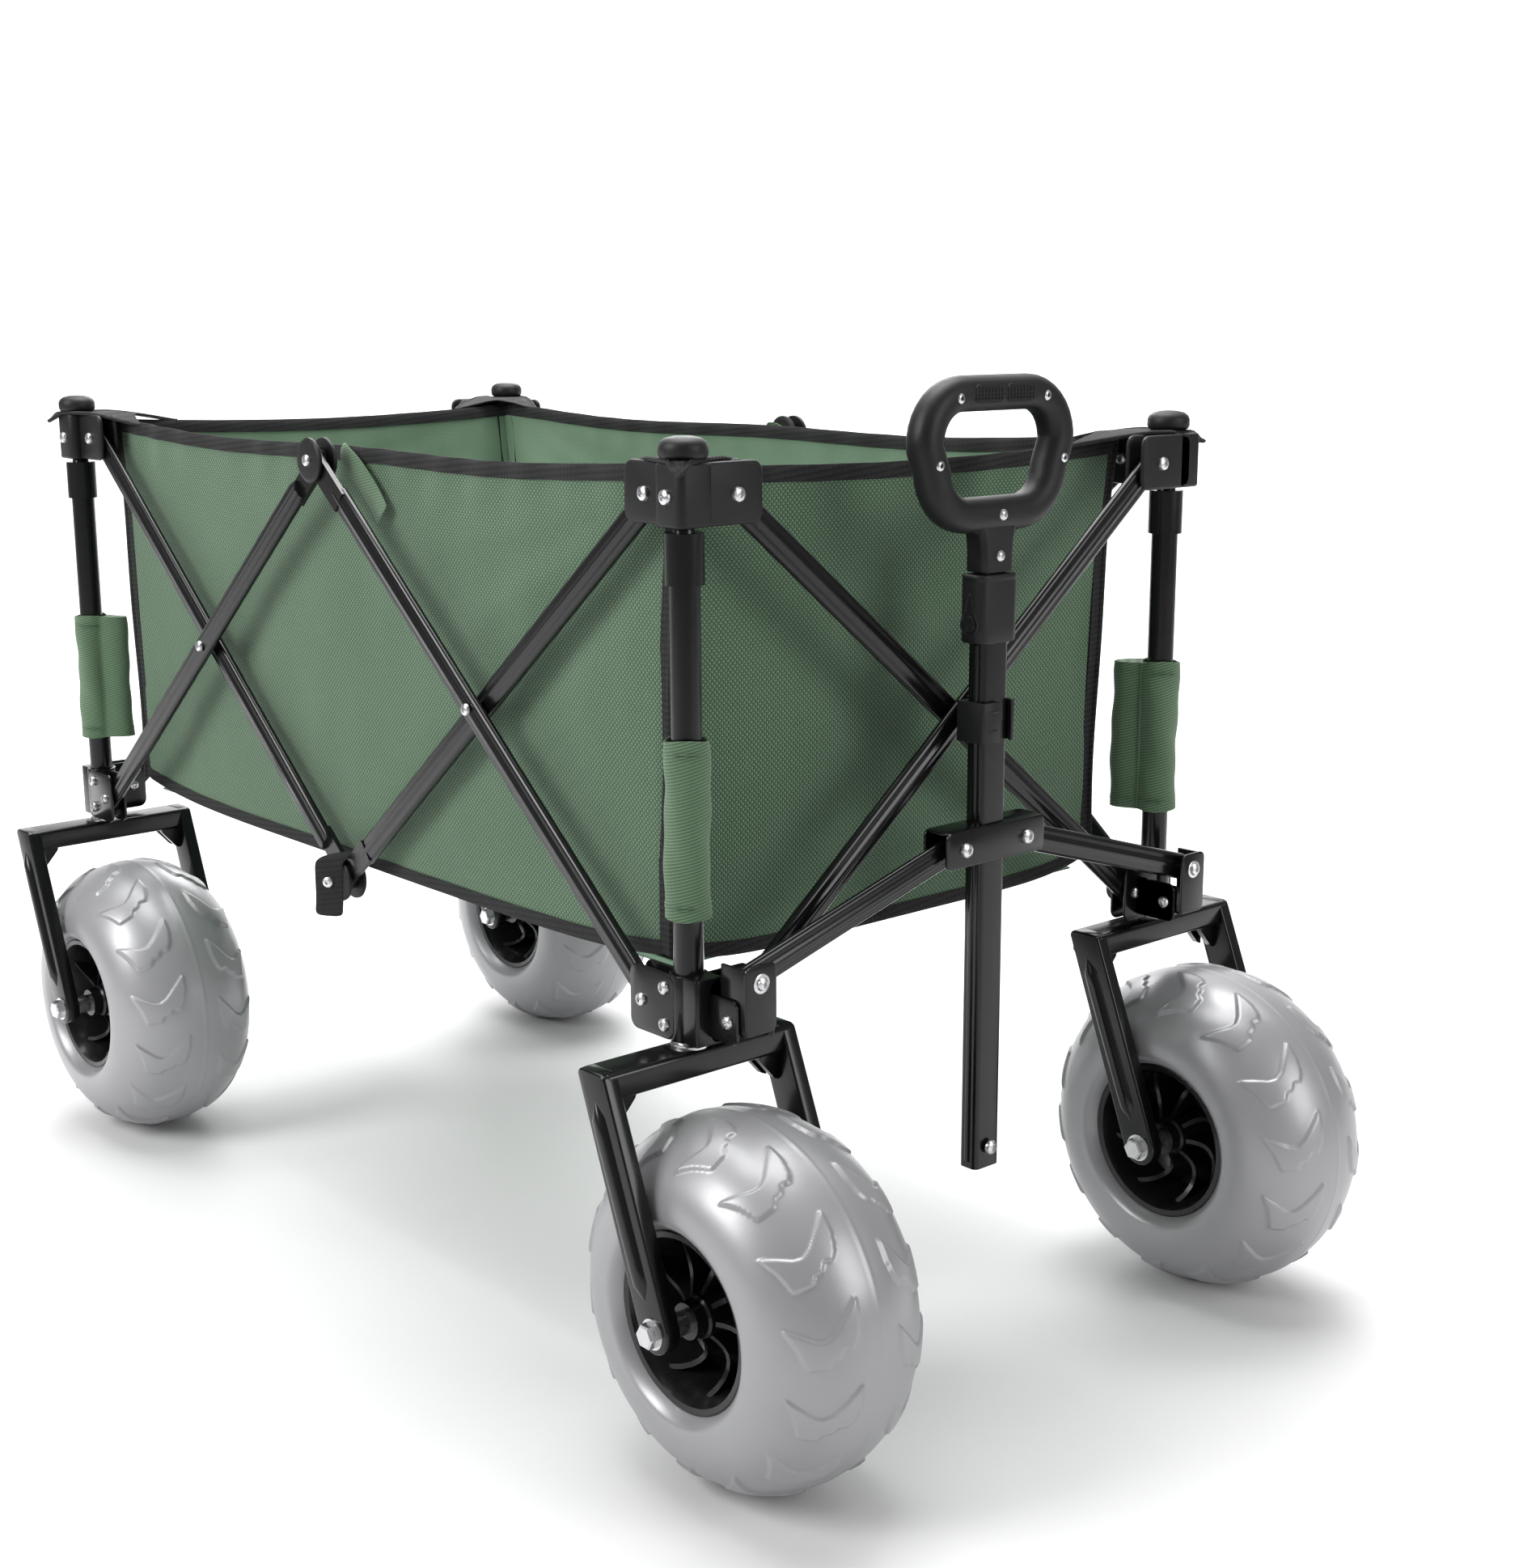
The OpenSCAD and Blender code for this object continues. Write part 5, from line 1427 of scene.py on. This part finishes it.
def makeSleeve(e):
    # fabric sleeve round the post, drawn out on one side to the bag's corner
    c = corners[e]
    f = sleeveForm
    sx, sy = c["x"], c["y"]
    post = Vector((sx * postX, sy * postY, 0))
    low, high = f["frontZ"] if sx > 0 else f["rearZ"]
    sleeve = Shape()
    nz, na = f["rows"], f["around"]
    target = Vector((sx * (bagX + 0.001), sy * (bagY + 0.001), 0)) - post
    aim = atan2(target.y, target.x)

    def pull(near):
        return (target.length - f["outer"]) * ((near - 0.80) / 0.20) ** 2.2 if near > 0.80 else 0

    pts = []
    for skin, base in ((1, f["outer"]), (0, f["inner"])):
        for i in range(nz + 1):
            t = i / nz
            z = low + (high - low) * t
            for k in range(na):
                a = 2 * pi * k / na
                near = cos(a - aim)
                r = base + (0.0008 * sin(3 * a + 7 * t) + 0.0005 * sin(21 * t + 2 * a)) * skin
                if skin:
                    r += pull(near)
                pts.append((post.x + r * cos(a), post.y + r * sin(a), z + 0.0012 * sin(2 * a + t * 3)))
    n1 = (nz + 1) * na
    faces = []
    for i in range(nz):
        for k in range(na):
            j = (k + 1) % na
            faces.append((i * na + k, i * na + j, (i + 1) * na + j, (i + 1) * na + k))
            faces.append((n1 + i * na + k, n1 + (i + 1) * na + k, n1 + (i + 1) * na + j, n1 + i * na + j))
    for k in range(na):
        j = (k + 1) % na
        faces.append((k, n1 + k, n1 + j, j))
        faces.append((nz * na + k, nz * na + j, n1 + nz * na + j, n1 + nz * na + k))
    # two rows of stitches along each hem, then the seam down the side
    for z in (low + f["hem"][0], low + f["hem"][1], high - f["hem"][0], high - f["hem"][1]):
        ringPath = []
        for k in range(na):
            a = 2 * pi * k / na
            r = f["outer"] + 0.0002 + pull(cos(a - aim))
            ringPath.append((post.x + r * cos(a), post.y + r * sin(a), z))
        sleeve.sweep(ringPath, ovalSection(f["stitch"], f["stitch"], 4), (0, 0, 1), 0, True)
    seam = aim + 0.55 * (1 if sx * sy > 0 else -1)
    out = f["seamOut"]
    line = [(post.x + out * cos(seam), post.y + out * sin(seam), low + 0.001 + (high - low - 0.002) * k / 12) for k in range(13)]
    sleeve.sweep(line, ovalSection(0.0016, 0.0012, 8), (cos(seam), sin(seam), 0))
    sleeve.add(pts, faces)
    sleeve.piece("post_sleeve_" + e, palette["canvas"], "top_" + c["body"], None, 0, 2, 60)


for e in corners:
    makePiping(e)
    makeCornerTab(e)
    makeSleeve(e)


# steps are (along, out from the bag's side, up from the pivot)
strapForm = {"half": 0.0125, "start": (0.005, 0.008, 0.011), "thick": 0.0014, "crown": 0.0012, "lean": (0.67, 0.74), "off": 0.004,
             "steps": ((-0.004, -0.001, 0.011), (0.002, 0.003, 0.009), (0.010, 0.0052, 0.003), (0.021, 0.0045, -0.004),
                       (0.034, 0.0035, -0.015), (0.047, 0.0030, -0.026), (0.058, 0.0035, -0.036), (0.069, 0.0055, -0.045),
                       (0.073, 0.0065, -0.048))}
# under holds (out, up) over the disc, and hang the same from the disc's face down
tabForm = {"half": jointForm["tabHalf"], "thick": 0.0014, "turn": jointForm["tabTurn"], "turned": 5,
           "under": ((0.2545, 0.012), (0.2560, 0.0205), (0.2600, 0.0228)),
           "hang": ((-0.0120, 0.0232), (-0.0040, 0.0226), (-0.0004, 0.0190), (0, 0.0120), (0, 0.0), (0, -0.0120),
                    (0.0002, -0.0180), (0.0010, -0.0260), (0.0016, -0.0340))}


def makeStrap(side):
    # green strap from the rim behind the top middle joint, its free end lying forward on the wall
    f = strapForm
    s = sideSign[side]
    near = bagY + f["off"]
    pts = []
    for i, (x, out, rise) in enumerate(f["steps"]):
        half = f["start"][i] if i < len(f["start"]) else f["half"]
        for q in (-1, -0.5, 0, 0.5, 1):
            crown = f["crown"] * (1 - q * q)
            pts.append((x + half * q * f["lean"][0], s * (near + out + crown), topPivotZ + rise + half * q * f["lean"][1]))
    strap = Shape()
    strap.add(pts, gridFaces(len(f["steps"]), 5))
    obj = strap.piece("joint_strap_" + side, palette["canvas"], None, None, 0, 2, 60)
    finishStrip(obj, f["thick"], "joint_top_" + side)


def makeTab(side):
    # webbing tab over the bottom middle joint, turned a little to the front where it hangs on the disc
    f = tabForm
    s = sideSign[side]
    face = postY + layers["sideInner"] + layers["half"] + 0.0054
    reach = list(f["under"]) + [(face + out, rise) for out, rise in f["hang"]]
    turn = radians(f["turn"])
    pts = []
    for i, (out, rise) in enumerate(reach):
        share = min(1.0, i / f["turned"])
        for q in (-1, 0, 1):
            along = f["half"] * q * (1 - share * (1 - cos(turn)))
            pts.append((along, s * (out + share * f["half"] * sin(turn) * (1 - q)), lowPivotZ + rise))
    tab = Shape()
    tab.add(pts, gridFaces(len(reach), 3))
    obj = tab.piece("joint_tab_" + side, palette["binding"], None, None, 0, 2, 60)
    finishStrip(obj, f["thick"], "joint_bottom_" + side)


floorForm = {"along": 96, "over": 26, "clothHalf": 0.457, "clothShort": 0.0125, "clothThick": 0.0015, "wave": 0.0006,
             "boardHalf": 0.455, "boardOut": 0.2320, "boardRound": 0.012, "edgeIn": 0.0015, "keep": 0.385,
             "clothAnchor": 0.484, "boardAnchor": 0.478}


def makeFloor(side):
    f = floorForm
    s = sideSign[side]
    low, high = lowHigh("bag_floor_" + side)
    near, far = min(abs(low.y), abs(high.y)), max(abs(low.y), abs(high.y)) - f["clothShort"]
    nx, ny = f["along"], f["over"]
    low.x, high.x = max(low.x, -f["clothHalf"]), min(high.x, f["clothHalf"])
    xs = np.linspace(low.x, high.x, nx + 1)
    ys = np.linspace(near, far, ny + 1)
    x, y = np.meshgrid(xs, ys, indexing="ij")
    wave = np.array([noise.noise(Vector((a * 7, b * 9, 2.0 + s))) for a, b in zip(x.ravel(), y.ravel())]).reshape(x.shape)
    z = low.z + 0.0009 + f["wave"] * wave
    top = np.stack([x, s * y, z + f["clothThick"]], -1).reshape(-1, 3)
    foot = np.stack([x, s * y, z], -1).reshape(-1, 3)
    cols = ny + 1
    size = (nx + 1) * cols
    faces = []
    for i in range(nx):
        for k in range(ny):
            a = i * cols + k
            faces.append((a, a + 1, a + cols + 1, a + cols))
            faces.append((size + a, size + a + cols, size + a + cols + 1, size + a + 1))
    rim = [i * cols for i in range(nx + 1)] + [nx * cols + k for k in range(1, cols)]
    rim += [i * cols + ny for i in range(nx - 1, -1, -1)] + [k for k in range(ny - 1, 0, -1)]
    faces += [(a, c, size + c, size + a) for a, c in zip(rim, rim[1:] + rim[:1])]
    shape = Shape()
    shape.add(np.concatenate([top, foot]), faces)
    obj = shape.piece("floor_cloth_" + side, palette["floor"], "floor_" + side, None, 0, 2, 60,
                      ("bag_floor_" + side,))
    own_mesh(obj)
    low, high = lowHigh("mat_" + side)
    low.y, high.y = max(low.y, -f["boardOut"]), min(high.y, f["boardOut"])
    low.x, high.x = max(low.x, -f["boardHalf"]), min(high.x, f["boardHalf"])
    wide, deep = high.x - low.x, high.y - low.y
    centre = ((low.x + high.x) / 2, (low.y + high.y) / 2)
    board = Shape()
    outline = roundRect(wide, deep, f["boardRound"], *centre)
    board.prism(outline, "XY", low.z + 0.0002, high.z)
    obj = board.piece("floor_board_" + side, palette["floor"], "floor_" + side, None, 0.0012, 2, 40,
                      ("mat_" + side,))
    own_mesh(obj)
    edge = Shape()
    inset = 2 * f["edgeIn"]
    path = [(px, py, high.z - 0.0008) for px, py in roundRect(wide - inset, deep - inset, f["boardRound"] - 0.001, *centre, 6)]
    edge.sweep(path, ovalSection(0.0030, 0.0016, 10), (0, 0, 1), 0, True)
    obj = edge.piece("board_edge_" + side, palette["binding"], "floor_" + side, None, 0, 2, 60)
    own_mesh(obj)


for side in sideSign:
    makeStrap(side)
    makeTab(side)
    makeFloor(side)
print("bag made")

for obj in heads.values():
    bpy.data.objects.remove(obj)


# floor, light and camera
def makeStudio():
    mat, _, shader, _ = startMaterial("studioFloor")
    shader.inputs["Base Color"].default_value = (0.74, 0.74, 0.745, 1)
    shader.inputs["Roughness"].default_value = 0.55
    shader.inputs["Specular IOR Level"].default_value = 0.3
    # a pale sweep: level ground that curves up far behind
    mesh = bpy.data.meshes.new("studio_floor")
    prof = [(-30.0, 0.0)] + [(2.6 + 2.6 * sin(radians(a)), 2.6 - 2.6 * cos(radians(a))) for a in range(0, 91, 6)] + [(5.2, 12.0)]
    way = Vector((-0.75, 0.66, 0)).normalized()
    side = Vector((-way.y, way.x, 0))
    verts, faces = [], []
    for run, rise in prof:
        for s in (-40, 40):
            verts.append(tuple(way * run + side * s + Vector((0, 0, rise))))
    faces = [(2 * i, 2 * i + 1, 2 * i + 3, 2 * i + 2) for i in range(len(prof) - 1)]
    mesh.from_pydata(verts, [], faces)
    mesh.materials.append(mat)
    mesh.shade_smooth()
    obj = bpy.data.objects.new("studio_floor", mesh)
    bpy.context.collection.objects.link(obj)


def addLight(name, place, aim, size, power, tall=None):
    data = bpy.data.lights.new(name, "AREA")
    data.shape = "RECTANGLE"
    data.size = size
    data.size_y = tall or size
    data.energy = power
    obj = bpy.data.objects.new(name, data)
    obj.location = place
    obj.rotation_euler = (Vector(aim) - Vector(place)).to_track_quat("-Z", "Y").to_euler()
    bpy.context.collection.objects.link(obj)


makeStudio()
addLight("overhead", (-0.2, 0.2, 3.6), (0, 0, 0.3), 2.2, 105)
addLight("keyLeft", (-0.6, -3.4, 2.6), (0.2, 0, 0.35), 1.6, 125, 2.2)
addLight("fillRight", (3.6, 0.9, 1.7), (0.3, 0, 0.4), 1.4, 45, 2.0)
addLight("rimBack", (-3.0, 2.4, 2.6), (0, 0, 0.5), 1.6, 40)
addLight("backdrop", (-1.6, 1.4, 4.6), (-4.2, 3.7, 1.2), 5.0, 420)
world = bpy.data.worlds.new("studio")
world.use_nodes = True
world.node_tree.nodes["Background"].inputs["Color"].default_value = (1, 1, 1, 1)
world.node_tree.nodes["Background"].inputs["Strength"].default_value = 0.26
bpy.context.scene.world = world

cameraForm = {"place": (1.808, -1.320, 0.905), "yaw": 138.83, "pitch": -12.26, "roll": -0.17, "lens": 50.66}
camData = bpy.data.cameras.new("camera")
camData.sensor_width = 36
camData.sensor_fit = "AUTO"
camData.lens = cameraForm["lens"]
camera = bpy.data.objects.new("camera", camData)
yaw, pitch, roll = (radians(cameraForm[k]) for k in ("yaw", "pitch", "roll"))
forward = Vector((cos(yaw) * cos(pitch), sin(yaw) * cos(pitch), sin(pitch)))
right = forward.cross(Vector((0, 0, 1))).normalized()
up = right.cross(forward)
turned = right * cos(roll) + up * sin(roll)
upTurned = -right * sin(roll) + up * cos(roll)
camera.matrix_world = Matrix.Translation(cameraForm["place"]) @ Matrix((turned, upTurned, -forward)).transposed().to_4x4()
bpy.context.collection.objects.link(camera)
bpy.context.scene.camera = camera
bpy.context.scene.view_settings.view_transform = "Standard"


print("studio made")
